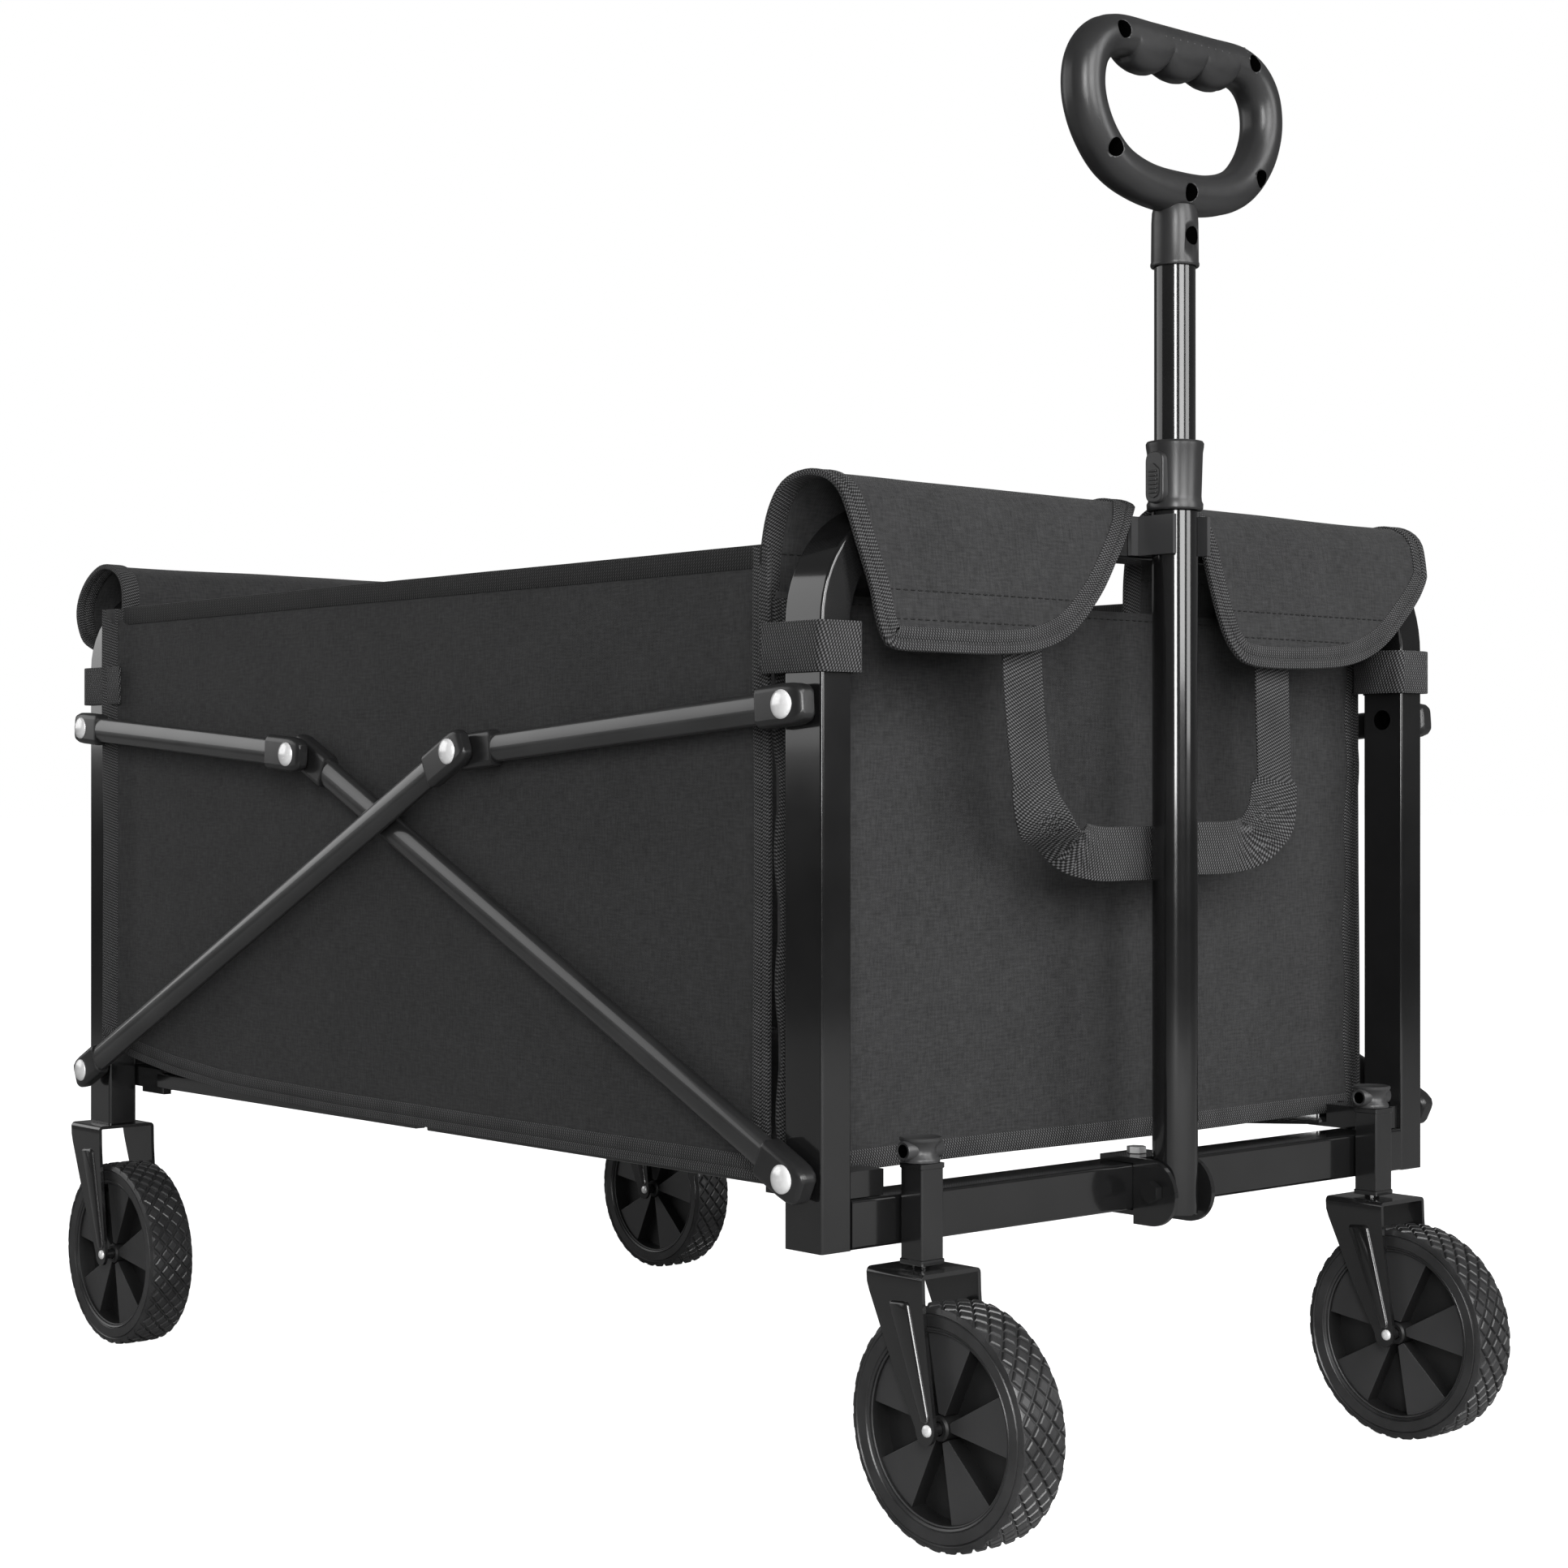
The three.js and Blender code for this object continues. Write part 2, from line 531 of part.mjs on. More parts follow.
// The clip on the upper rail that parks the handle upright.
function parkClip() {
  const low = 462;
  const high = 481.5;
  const grip = HANDLE.r + 0.4;
  return union(
    block(GAP, 2.6, -19, 19, low, high),
    block(2, 25.5, grip, grip + 2.4, low, high),
    block(2, 25.5, -grip - 2.4, -grip, low, high),
  );
}
add('handle_clip', parkClip(), moulding());

const innerTubeLow = 250;
const innerTube = rod('z', HANDLE.innerR, innerTubeLow, 634, HANDLE.x, 0, WIDE)
  .subtract(rod('z', HANDLE.innerR - 1.2, innerTubeLow - 1, 635, HANDLE.x, 0, WIDE));
add('handle_inner_tube', innerTube, paint());

// The D-grip, in two mirrored shells that meet at the middle plane of the tube.
function gripOutline() {
  const z = HANDLE.gripZ;
  const ring = new THREE.Shape();
  ring.moveTo(-52, z + 48);
  ring.bezierCurveTo(-72, z + 48, -80, z + 24, -80, z + 4);
  ring.bezierCurveTo(-78, z - 26, -50, z - 47, 0, z - 47);
  ring.bezierCurveTo(50, z - 47, 78, z - 26, 80, z + 4);
  ring.bezierCurveTo(80, z + 24, 72, z + 48, 52, z + 48);
  ring.closePath();
  return ring;
}

function gripHole() {
  const z = HANDLE.gripZ;
  const hole = new THREE.Shape();
  hole.moveTo(-43, z + 24);
  hole.bezierCurveTo(-56, z + 20, -56, z - 2, -42, z - 16);
  hole.bezierCurveTo(-28, z - 27, 28, z - 27, 42, z - 16);
  hole.bezierCurveTo(56, z - 2, 56, z + 20, 43, z + 24);
  // three finger bumps under the bar
  for (const middle of [26, 0, -26]) {
    hole.bezierCurveTo(middle + 10, z + 15, middle - 10, z + 15, middle - 13, z + 22);
  }
  hole.closePath();
  return hole;
}

function gripShell(front) {
  const depth = front ? [HANDLE.x + GAP / 2, HANDLE.x + 12.5] : [HANDLE.x - 12.5, HANDLE.x - GAP / 2];
  const hole = plateYZ(gripHole(), depth[0] - 1, depth[1] + 1, 6);
  const ring = plateYZ(gripOutline(), ...depth, 6).subtract(hole);
  const half = block(...depth, -20, 20, HANDLE.socket, 645);
  const socket = rod('z', 13, HANDLE.socket, 642, HANDLE.x, 0, WIDE).intersect(half);
  const bore = rod('z', HANDLE.innerR + GAP, HANDLE.socket - 1, 634 + GAP, HANDLE.x, 0, WIDE);
  return union(ring, socket).subtract(bore);
}

add('grip_front_shell', gripShell(true), moulding());
add('grip_back_shell', gripShell(false), moulding());

export default wagon;
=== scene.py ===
"""Folding wagon with a pull handle: the visual pieces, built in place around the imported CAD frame.

Lengths in the tables below are millimetres, measured from the front face of the front posts (X, forwards),
the middle plane (Y, to the left of someone facing forwards) and the ground (Z).
"""

import json
import math

import bmesh
import bpy
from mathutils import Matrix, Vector, noise
from mathutils.geometry import delaunay_2d_cdt


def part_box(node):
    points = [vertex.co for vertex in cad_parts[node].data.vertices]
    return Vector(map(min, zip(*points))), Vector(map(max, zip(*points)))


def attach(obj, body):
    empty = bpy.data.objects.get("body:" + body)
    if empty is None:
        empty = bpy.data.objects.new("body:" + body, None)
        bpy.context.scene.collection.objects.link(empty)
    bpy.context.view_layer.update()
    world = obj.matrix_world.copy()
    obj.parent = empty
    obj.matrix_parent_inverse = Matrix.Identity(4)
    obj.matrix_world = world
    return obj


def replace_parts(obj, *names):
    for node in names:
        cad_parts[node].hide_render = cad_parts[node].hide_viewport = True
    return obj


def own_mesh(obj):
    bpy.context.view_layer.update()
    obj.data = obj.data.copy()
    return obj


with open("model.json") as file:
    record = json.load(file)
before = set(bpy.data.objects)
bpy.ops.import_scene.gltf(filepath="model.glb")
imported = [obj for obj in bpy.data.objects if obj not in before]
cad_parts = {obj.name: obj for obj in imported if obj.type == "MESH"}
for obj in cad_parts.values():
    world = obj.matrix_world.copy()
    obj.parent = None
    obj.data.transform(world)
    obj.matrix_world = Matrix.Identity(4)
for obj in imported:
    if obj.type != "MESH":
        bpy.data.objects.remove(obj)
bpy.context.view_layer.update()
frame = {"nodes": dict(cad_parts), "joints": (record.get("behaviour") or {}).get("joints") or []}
nodes = frame["nodes"]
pivots = {j["name"]: Vector(j["pos_m"]) for j in frame["joints"] if "pos_m" in j}
MM = 0.001
SIDES = (("left", 1), ("right", -1))

u_low, u_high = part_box("front_u_frame")
rear_low, rear_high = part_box("rear_u_frame")
FRONT_X = u_high.x
HALF = u_high.y / MM                       # half width over the posts
TOP = u_high.z / MM                        # top of the rails
FOOT = u_low.z / MM                        # bottom of the posts
POST_X = (u_high.x - u_low.x) / MM
POST_Y = 18.6
BEND_R = 58.0
REAR_FACE = (rear_low.x - FRONT_X) / MM    # rear face of the rear posts
REAR_INNER = (rear_high.x - FRONT_X) / MM


def at(x, y, z):
    """A point of the shared frame, in metres, from millimetres."""
    return Vector((FRONT_X + x * MM, y * MM, z * MM))


def local(point):
    """The other way round: millimetres from the front posts, from a point in metres."""
    return (point.x - FRONT_X) / MM, point.y / MM, point.z / MM


# ---------------------------------------------------------------- materials
def put(tree, kind, settings=None, **inputs):
    """Adds a node. An input is given by name, with _ for a space, as a value or as a socket to link."""
    made = tree.nodes.new("ShaderNode" + kind)
    for key, value in (settings or {}).items():
        setattr(made, key, value)
    for key, value in inputs.items():
        name = key.replace("_", " ")
        socket = made.inputs[int(key[1:])] if key[1:].isdigit() else made.inputs[name]
        if isinstance(value, bpy.types.NodeSocket):
            tree.links.new(value, socket)
        else:
            socket.default_value = value
    return made


def calc(tree, operation, a, b=0.0, c=0.0):
    return put(tree, "Math", {"operation": operation}, i0=a, i1=b, i2=c).outputs[0]


def ramp(tree, factor, low, high, dark, light):
    """Maps factor from low..high to two colours."""
    made = put(tree, "ValToRGB", Fac=factor)
    made.color_ramp.elements[0].position = low
    made.color_ramp.elements[0].color = (*dark, 1)
    made.color_ramp.elements[1].position = high
    made.color_ramp.elements[1].color = (*light, 1)
    return made.outputs["Color"]


def grey(value):
    return (value, value, value * 1.02)


def surface(name, color, roughness, metallic=0.0, **extra):
    """A material with the shader's own sockets set; extra holds further socket values."""
    made = bpy.data.materials.new(name)
    made.use_nodes = True
    shader = made.node_tree.nodes["Principled BSDF"]
    shader.inputs["Base Color"].default_value = (*color, 1)
    shader.inputs["Roughness"].default_value = roughness
    shader.inputs["Metallic"].default_value = metallic
    for key, value in extra.items():
        shader.inputs[key.replace("_", " ")].default_value = value
    return made, made.node_tree, shader


def object_noise(tree, scale, detail=3.0, roughness=0.5):
    place = put(tree, "TexCoord").outputs["Object"]
    return put(tree, "TexNoise", Vector=place, Scale=scale, Detail=detail, Roughness=roughness).outputs["Fac"]


def bump(tree, shader, height, strength, distance):
    made = put(tree, "Bump", Height=height, Strength=strength, Distance=distance)
    tree.links.new(made.outputs["Normal"], shader.inputs["Normal"])
    return made


def paint_material(name, value, roughness, peel):
    """Powder coat: a dark base, faint smudges in the gloss, and a slight orange peel."""
    made, tree, shader = surface(name, grey(value), roughness, Coat_Weight=0.5, Coat_Roughness=0.06)
    smudge = object_noise(tree, 26.0, 4.0)
    tone = ramp(tree, smudge, 0.3, 0.75, grey(value * 0.8), grey(value * 1.35))
    tree.links.new(tone, shader.inputs["Base Color"])
    gloss = put(tree, "MapRange", Value=smudge, To_Min=roughness * 0.75, To_Max=roughness * 1.5)
    tree.links.new(gloss.outputs["Result"], shader.inputs["Roughness"])
    bump(tree, shader, object_noise(tree, 420.0, 2.0), peel, 0.0003)
    return made


def moulded_material(name, value, roughness, grain=1400.0, depth=0.12):
    """Moulded plastic: a fine spark-eroded grain and a little cloudiness."""
    made, tree, shader = surface(name, grey(value), roughness, Specular_IOR_Level=0.45)
    cloud = object_noise(tree, 18.0, 3.0)
    tone = ramp(tree, cloud, 0.3, 0.7, grey(value * 0.85), grey(value * 1.2))
    tree.links.new(tone, shader.inputs["Base Color"])
    gloss = put(tree, "MapRange", Value=object_noise(tree, grain / 6, 3.0), To_Min=roughness - 0.06,
                To_Max=roughness + 0.08)
    tree.links.new(gloss.outputs["Result"], shader.inputs["Roughness"])
    bump(tree, shader, object_noise(tree, grain, 2.0), depth, 0.0002)
    return made


def rubber_material():
    made, tree, shader = surface("tyre_rubber", grey(0.026), 0.4, Specular_IOR_Level=0.5)
    dust = object_noise(tree, 45.0, 5.0, 0.6)
    tone = ramp(tree, dust, 0.35, 0.7, grey(0.019), grey(0.034))
    tree.links.new(tone, shader.inputs["Base Color"])
    gloss = put(tree, "MapRange", Value=dust, To_Min=0.26, To_Max=0.38)
    tree.links.new(gloss.outputs["Result"], shader.inputs["Roughness"])
    bump(tree, shader, object_noise(tree, 1800.0, 2.0), 0.15, 0.0002)
    return made


def plated_painted_reflection_material(name, value, roughness):
    """Plated metal given a pale, mostly diffuse base colour: painted reflection standing in for the plating's
    shine, with fine scuffs.
    """
    made, tree, shader = surface(name, (value, value, value), roughness, 0.25, Coat_Weight=0.4,
                                 Coat_Roughness=0.08)
    scuff = object_noise(tree, 500.0, 4.0, 0.6)
    tone = ramp(tree, scuff, 0.3, 0.7, (value * 0.9,) * 3, (value,) * 3)
    tree.links.new(tone, shader.inputs["Base Color"])
    gloss = put(tree, "MapRange", Value=scuff, To_Min=roughness * 0.7, To_Max=roughness * 1.5)
    tree.links.new(gloss.outputs["Result"], shader.inputs["Roughness"])
    bump(tree, shader, scuff, 0.05, 0.0002)
    return made


def cloth_material(name, dark, light):
    """Heathered plain weave. Warp and weft slubs are noise drawn out along each thread direction."""
    made, tree, shader = surface(name, grey(light), 0.9, Specular_IOR_Level=0.15, Sheen_Weight=0.06,
                                 Sheen_Roughness=0.5)
    flat = put(tree, "UVMap", {"uv_map": "flat"}).outputs["UV"]

    def slubs(along, across, seed):
        stretched = put(tree, "Mapping", Vector=flat, Scale=(along, across, 1), Location=(seed, seed * 2, 0))
        return put(tree, "TexNoise", Vector=stretched.outputs["Vector"], Scale=1.0, Detail=2.0).outputs["Fac"]

    warp = slubs(140.0, 900.0, 3.1)
    weft = slubs(900.0, 140.0, 7.7)
    mottle = object_noise(tree, 34.0, 4.0, 0.65)
    mixed = calc(tree, "ADD", calc(tree, "ADD", warp, weft), calc(tree, "MULTIPLY", mottle, 0.5))
    tone = ramp(tree, calc(tree, "DIVIDE", mixed, 2.5), 0.36, 0.64, grey(dark), grey(light))
    tree.links.new(tone, shader.inputs["Base Color"])
    parts = put(tree, "SeparateXYZ", Vector=flat)
    thread = 2 * math.pi / 0.00085
    warp_wave = calc(tree, "SINE", calc(tree, "MULTIPLY", parts.outputs["X"], thread))
    weft_wave = calc(tree, "SINE", calc(tree, "MULTIPLY", parts.outputs["Y"], thread))
    weave = calc(tree, "MULTIPLY_ADD", warp_wave, weft_wave, calc(tree, "ADD", warp, weft))
    bump(tree, shader, weave, 0.35, 0.0003)
    return made


def webbing_material(name, dark, light, pitch_mm=1.8, row_mm=1.35, lean=0.35):
    """Webbing: yarn ends standing across the band, staggered from row to row and leaning a little, their tops
    painted light and the gaps painted dark as highlight and shade.
    """
    made, tree, shader = surface(name, grey(light), 0.72, Specular_IOR_Level=0.2, Sheen_Weight=0.05)
    flat = put(tree, "UVMap", {"uv_map": "flat"}).outputs["UV"]
    parts = put(tree, "SeparateXYZ", Vector=flat)
    leaning = calc(tree, "MULTIPLY_ADD", parts.outputs["Y"], lean, parts.outputs["X"])
    ends = calc(tree, "SINE", calc(tree, "MULTIPLY", leaning, 2 * math.pi / (pitch_mm * MM)))
    rows = calc(tree, "SINE", calc(tree, "MULTIPLY", parts.outputs["Y"], math.pi / (row_mm * MM)))
    height = calc(tree, "MULTIPLY", ends, rows)
    yarn = put(tree, "MapRange", {"interpolation_type": "SMOOTHSTEP"}, Value=height, From_Min=-0.45,
               From_Max=0.95).outputs["Result"]
    wear = object_noise(tree, 60.0, 3.0)
    # Colour follows the yarn height: painted highlight on the yarn tops and painted shade in the gaps, varied
    # at random by the wear noise.
    yarn_highlight_and_shade = calc(tree, "MULTIPLY", yarn, calc(tree, "MULTIPLY_ADD", wear, 0.9, 0.55))
    tone = ramp(tree, yarn_highlight_and_shade, 0.05, 0.95, grey(dark), grey(light))
    tree.links.new(tone, shader.inputs["Base Color"])
    bump(tree, shader, yarn, 0.7, 0.0004)
    return made


PAINT = paint_material("gloss_paint", 0.006, 0.12, 0.015)
CASTER_PAINT = paint_material("satin_paint", 0.008, 0.2, 0.05)
BAR_PAINT = paint_material("bar_paint", 0.014, 0.3, 0.01)
CAP_PLASTIC = moulded_material("cap_plastic", 0.014, 0.30)
GRIP_PLASTIC = moulded_material("grip_plastic", 0.021, 0.31)
CLIP_PLASTIC = moulded_material("clip_plastic", 0.033, 0.35)
RIM_PLASTIC = moulded_material("rim_plastic", 0.034, 0.45)
# Dark plastic of the web and hub; on the recess walls of the blades it is painted shade.
HUB_WEB_PLASTIC_AND_RECESS_SHADE = moulded_material("web_plastic_and_recess_shade", 0.008, 0.5)
RUBBER = rubber_material()
# Near-white base on the rivets: their plated shine painted in as colour.
RIVET = plated_painted_reflection_material("rivet_nickel", 0.86, 0.22)
ZINC = plated_painted_reflection_material("zinc", 0.5, 0.3)
CLOTH = cloth_material("charcoal_cloth", 0.018, 0.037)
WEBBING = webbing_material("webbing", 0.0035, 0.105)
BINDING = webbing_material("binding", 0.0035, 0.095, 1.7, 1.25, 0.4)
EDGE_TAPE = webbing_material("edge_tape", 0.0025, 0.024, 1.9, 1.5, -0.7)
THREAD = moulded_material("thread", 0.004, 0.8, 2400.0)
# Near-black, with no specular: painted shade for the inside of cut holes.
PAINTED_HOLE_SHADE = surface("hole_shadow", (0.0008, 0.0008, 0.0008), 1.0, Specular_IOR_Level=0.0)[0]


# ---------------------------------------------------------------- mesh helpers
def piece(name, points, faces, material, uv=None, sharp=32.0, loose=False):
    """A mesh object from points and faces; uv holds one list of corner coordinates, in metres, per face."""
    mesh = bpy.data.meshes.new(name)
    mesh.from_pydata([tuple(p) for p in points], [], faces)
    if uv:
        layer = mesh.uv_layers.new(name="flat")
        flat = [c for corners in uv for c in corners]
        layer.data.foreach_set("uv", [value for pair in flat for value in pair])
    work = bmesh.new()
    work.from_mesh(mesh)
    if not loose:
        bmesh.ops.recalc_face_normals(work, faces=work.faces)
    limit = math.radians(sharp)
    for edge in work.edges:
        if len(edge.link_faces) == 2 and edge.calc_face_angle(0) > limit:
            edge.smooth = False
    for face in work.faces:
        face.smooth = True
    work.to_mesh(mesh)
    work.free()
    mesh.materials.append(material)
    made = bpy.data.objects.new(name, mesh)
    bpy.context.scene.collection.objects.link(made)
    return made


def lengths(points):
    """The distance along a line of points, at each of them."""
    total = [0.0]
    for a, b in zip(points, points[1:]):
        total.append(total[-1] + (b - a).length)
    return total


def loft(rings, closed_rings=True, closed_path=False, caps=True):
    """Points, faces and corner coordinates of a skin over equal rings of points."""
    count, size = len(rings), len(rings[0])
    along = lengths([sum(ring, Vector()) / size for ring in rings])
    around = lengths([*rings[0], rings[0][0]])
    points = [p for ring in rings for p in ring]
    faces, uv = [], []
    for i in range(count if closed_path else count - 1):
        for j in range(size if closed_rings else size - 1):
            k, m = (i + 1) % count, (j + 1) % size
            faces.append((i * size + j, k * size + j, k * size + m, i * size + m))
            u0 = along[i]
            u1 = along[i + 1] if i + 1 < count else along[i] + (along[1] - along[0])
            uv.append([(u0, around[j]), (u1, around[j]), (u1, around[j + 1]), (u0, around[j + 1])])
    if caps and closed_rings and not closed_path:
        for start in (0, (count - 1) * size):
            ring = list(range(start, start + size))
            faces.append(ring)
            uv.append([(points[n].y, points[n].z) for n in ring])
    return points, faces, uv


def sweep(name, path, section, side, material, scales=None, closed=False, sharp=32.0):
    """A section carried along a path. Its first coordinate lies along side, its second along tangent x side.

    side is one vector or one per point. scales are (first, second) factors per point."""
    rings = []
    count = len(path)
    for i, point in enumerate(path):
        before = path[i - 1] if i or closed else point
        after = path[(i + 1) % count] if i + 1 < count or closed else point
        tangent = (after - before).normalized()
        wanted = side[i] if isinstance(side, list) else side
        first = (wanted - tangent * wanted.dot(tangent)).normalized()
        second = tangent.cross(first)
        a, b = scales[i] if scales else (1, 1)
        rings.append([point + first * (u * a) + second * (v * b) for u, v in section])
    points, faces, uv = loft(rings, closed_path=closed)
    return piece(name, points, faces, material, uv, sharp)


def rounded_box(width, height, radius, steps=4):
    """A closed section, in metres from millimetres."""
    corners = ((1, 1, 0), (-1, 1, 90), (-1, -1, 180), (1, -1, 270))
    section = []
    for sx, sy, start in corners:
        cx, cy = sx * (width / 2 - radius), sy * (height / 2 - radius)
        for n in range(steps + 1):
            angle = math.radians(start + 90 * n / steps)
            section.append(((cx + radius * math.cos(angle)) * MM, (cy + radius * math.sin(angle)) * MM))
    return section


def oval(width, height, power, sides=44):
    """A closed section between an ellipse (power 2) and a box, in metres from millimetres."""
    section = []
    for n in range(sides):
        angle = 2 * math.pi * n / sides
        c, s = math.cos(angle), math.sin(angle)
        u = math.copysign(abs(c) ** (2 / power), c) * width / 2
        v = math.copysign(abs(s) ** (2 / power), s) * height / 2
        section.append((u * MM, v * MM))
    return section


def turned(profile, centre, axis="Y", sides=64):
    """Points, faces and coordinates of a closed profile of (radius, height) pairs turned about an axis."""
    rings = []
    for n in range(sides):
        angle = 2 * math.pi * n / sides
        c, s = math.cos(angle), math.sin(angle)
        if axis == "Y":
            ring = [centre + Vector((r * c, h, r * s)) * MM for r, h in profile]
        elif axis == "Z":
            ring = [centre + Vector((r * c, r * s, h)) * MM for r, h in profile]
        else:
            ring = [centre + Vector((h, r * c, r * s)) * MM for r, h in profile]
        rings.append(ring)
    return loft(rings, closed_path=True)


def disc(profile, centre, axis="Y", sides=32, flip=1):
    """Like turned, for an open profile that starts and ends on the axis."""
    rings = []
    for r, h in profile:
        ring = []
        for n in range(sides):
            angle = 2 * math.pi * n / sides
            c, s = r * math.cos(angle), r * math.sin(angle)
            if axis == "Y":
                ring.append(centre + Vector((c, h * flip, s)) * MM)
            elif axis == "Z":
                ring.append(centre + Vector((c, s, h * flip)) * MM)
            else:
                ring.append(centre + Vector((h * flip, c, s)) * MM)
        rings.append(ring)
    return loft(rings)


def prism(outline, low, high, plane):
    """An outline given a thickness. plane names the outline's two axes, such as XZ; values are local mm."""
    def place(a, b, c):
        if plane == "XZ":
            return at(a, c, b)
        if plane == "YZ":
            return at(c, a, b)
        return at(a, b, c)

    rings = [[place(a, b, level) for a, b in outline] for level in (low, high)]
    return loft(rings)


def joined(parts):
    """Several (points, faces, uv) sets as one."""
    points, faces, uv = [], [], []
    for p, f, t in parts:
        shift = len(points)
        points += p
        faces += [tuple(n + shift for n in face) for face in f]
        uv += t
    return points, faces, uv


def soften(obj, width, segments=2, angle=30.0):
    """Rounds an object's hard edges with a bevel."""
    made = obj.modifiers.new("edge", "BEVEL")
    made.width = width * MM
    made.segments = segments
    made.limit_method = "ANGLE"
    made.angle_limit = math.radians(angle)
    made.harden_normals = True
    return obj


def crisp(obj):
    """Keeps flat faces evenly shaded beside rounded corners."""
    made = obj.modifiers.new("flat faces", "WEIGHTED_NORMAL")
    made.keep_sharp = True
    return obj


def baked(obj):
    """Replaces an object's mesh with its evaluated one, so that no modifier is left."""
    graph = bpy.context.evaluated_depsgraph_get()
    mesh = bpy.data.meshes.new_from_object(obj.evaluated_get(graph))
    obj.modifiers.clear()
    obj.data = mesh
    return obj


def cut(obj, cutters):
    """Cuts each (points, faces, uv) set out of obj; the cut walls take the near-black hole material, painted
    shade inside the hole.
    """
    points, faces, uv = joined(cutters)
    tool = piece("cutter", points, faces, PAINTED_HOLE_SHADE, uv)
    made = obj.modifiers.new("cut", "BOOLEAN")
    made.operation = "DIFFERENCE"
    made.solver = "EXACT"
    made.object = tool
    made.material_mode = "TRANSFER"
    baked(obj)
    bpy.data.objects.remove(tool)
    return obj


def smooth_curve(points, step):
    """A Catmull-Rom curve through 2-D or 3-D points, with a point about every step."""
    vectors = [Vector(p) for p in points]
    ends = [vectors[0] * 2 - vectors[1], *vectors, vectors[-1] * 2 - vectors[-2]]
    curve = []
    for i in range(1, len(ends) - 2):
        p0, p1, p2, p3 = ends[i - 1:i + 3]
        pieces = max(1, round((p2 - p1).length / step))
        for n in range(pieces):
            t = n / pieces
            curve.append(0.5 * (2 * p1 + (p2 - p0) * t + (2 * p0 - 5 * p1 + 4 * p2 - p3) * t * t
                                + (3 * p1 - p0 - 3 * p2 + p3) * t ** 3))
    curve.append(vectors[-1])
    return curve


def value_at(table, x):
    """Reads a list of (x, y) pairs with straight lines between them."""
    if x <= table[0][0]:
        return table[0][1]
    for (x0, y0), (x1, y1) in zip(table, table[1:]):
        if x <= x1:
            return y0 + (y1 - y0) * (x - x0) / (x1 - x0)
    return table[-1][1]


def ease(t):
    t = max(0.0, min(1.0, t))
    return t * t * (3 - 2 * t)


def dress(name, material, bevel=0.0):
    """Gives a CAD node its finish, and rounds its edges."""
    obj = nodes[name]
    obj.data.materials.clear()
    obj.data.materials.append(material)
    if bevel:
        soften(obj, bevel)


# ---------------------------------------------------------------- frame
def arc_points(cy, cz, radius, start, end, steps):
    return [(cy + radius * math.cos(math.radians(start + (end - start) * n / steps)),
             cz + radius * math.sin(math.radians(start + (end - start) * n / steps)))
            for n in range(steps + 1)]


def end_frame(name, front_face):
    """The inverted U: a rolled rectangular tube, with a round hole in each post's inner face."""
    inset = POST_Y / 2
    bend = BEND_R - inset
    side = HALF - inset
    line = [(side, FOOT), (side, 300.0)]
    line += arc_points(HALF - BEND_R, TOP - BEND_R, bend, 0, 90, 14)
    line += arc_points(BEND_R - HALF, TOP - BEND_R, bend, 90, 180, 14)
    line += [(-side, 300.0), (-side, FOOT)]
    middle = front_face - POST_X / 2
    path = [at(middle, y, z) for y, z in line]
    made = sweep(name, path, rounded_box(POST_X, POST_Y, 1.5, 4), Vector((1, 0, 0)), PAINT)
    inner = HALF - POST_Y
    holes = []
    for _, sign in SIDES:
        for height in (local(pivots["fold"])[2], local(pivots["front_link_pivot_left"])[2]):
            profile = [(0.01, inner - 3), (5.5, inner - 3), (5.5, inner + 6), (0.01, inner + 6)]
            holes.append(disc(profile, at(middle, 0, height), "Y", 28, sign))
    return crisp(cut(made, holes))


def frame_ends():
    front = end_frame("front_frame_tube", 0.0)
    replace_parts(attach(front, "front_frame"), "front_u_frame")
    rear = end_frame("rear_frame_tube", REAR_INNER)
    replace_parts(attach(rear, "rear_frame"), "rear_u_frame")
    for end, body in (("front", "front_frame"), ("rear", "rear_frame")):
        node = f"{end}_cross_bar"
        low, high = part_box(node)
        middle = (low + high) / 2
        path = [Vector((middle.x, low.y, middle.z)), Vector((middle.x, high.y, middle.z))]
        section = rounded_box((high.x - low.x) / MM, (high.z - low.z) / MM, 1.6, 3)
        bar = crisp(sweep(f"{end}_cross_tube", path, section, Vector((1, 0, 0)), PAINT))
        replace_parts(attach(bar, body), node)


# ---------------------------------------------------------------- side bars
BAR_LOOKS = {                       # tube height, tube depth, first and last distance from the post's face
    "front_diagonal": (16.0, 8.4, 1.6, 1.6),
    "front_link": (14.8, 8.4, 1.6, 1.6),
    "rear_diagonal": (16.0, 8.0, 4.8, 11.4),
    "rear_link": (14.8, 8.0, 4.8, 11.4),
}
BAR_POWER = 2.25                    # 2 is an ellipse
ROOT_CAP = 19.4
HEAD_PROUD = 14.5


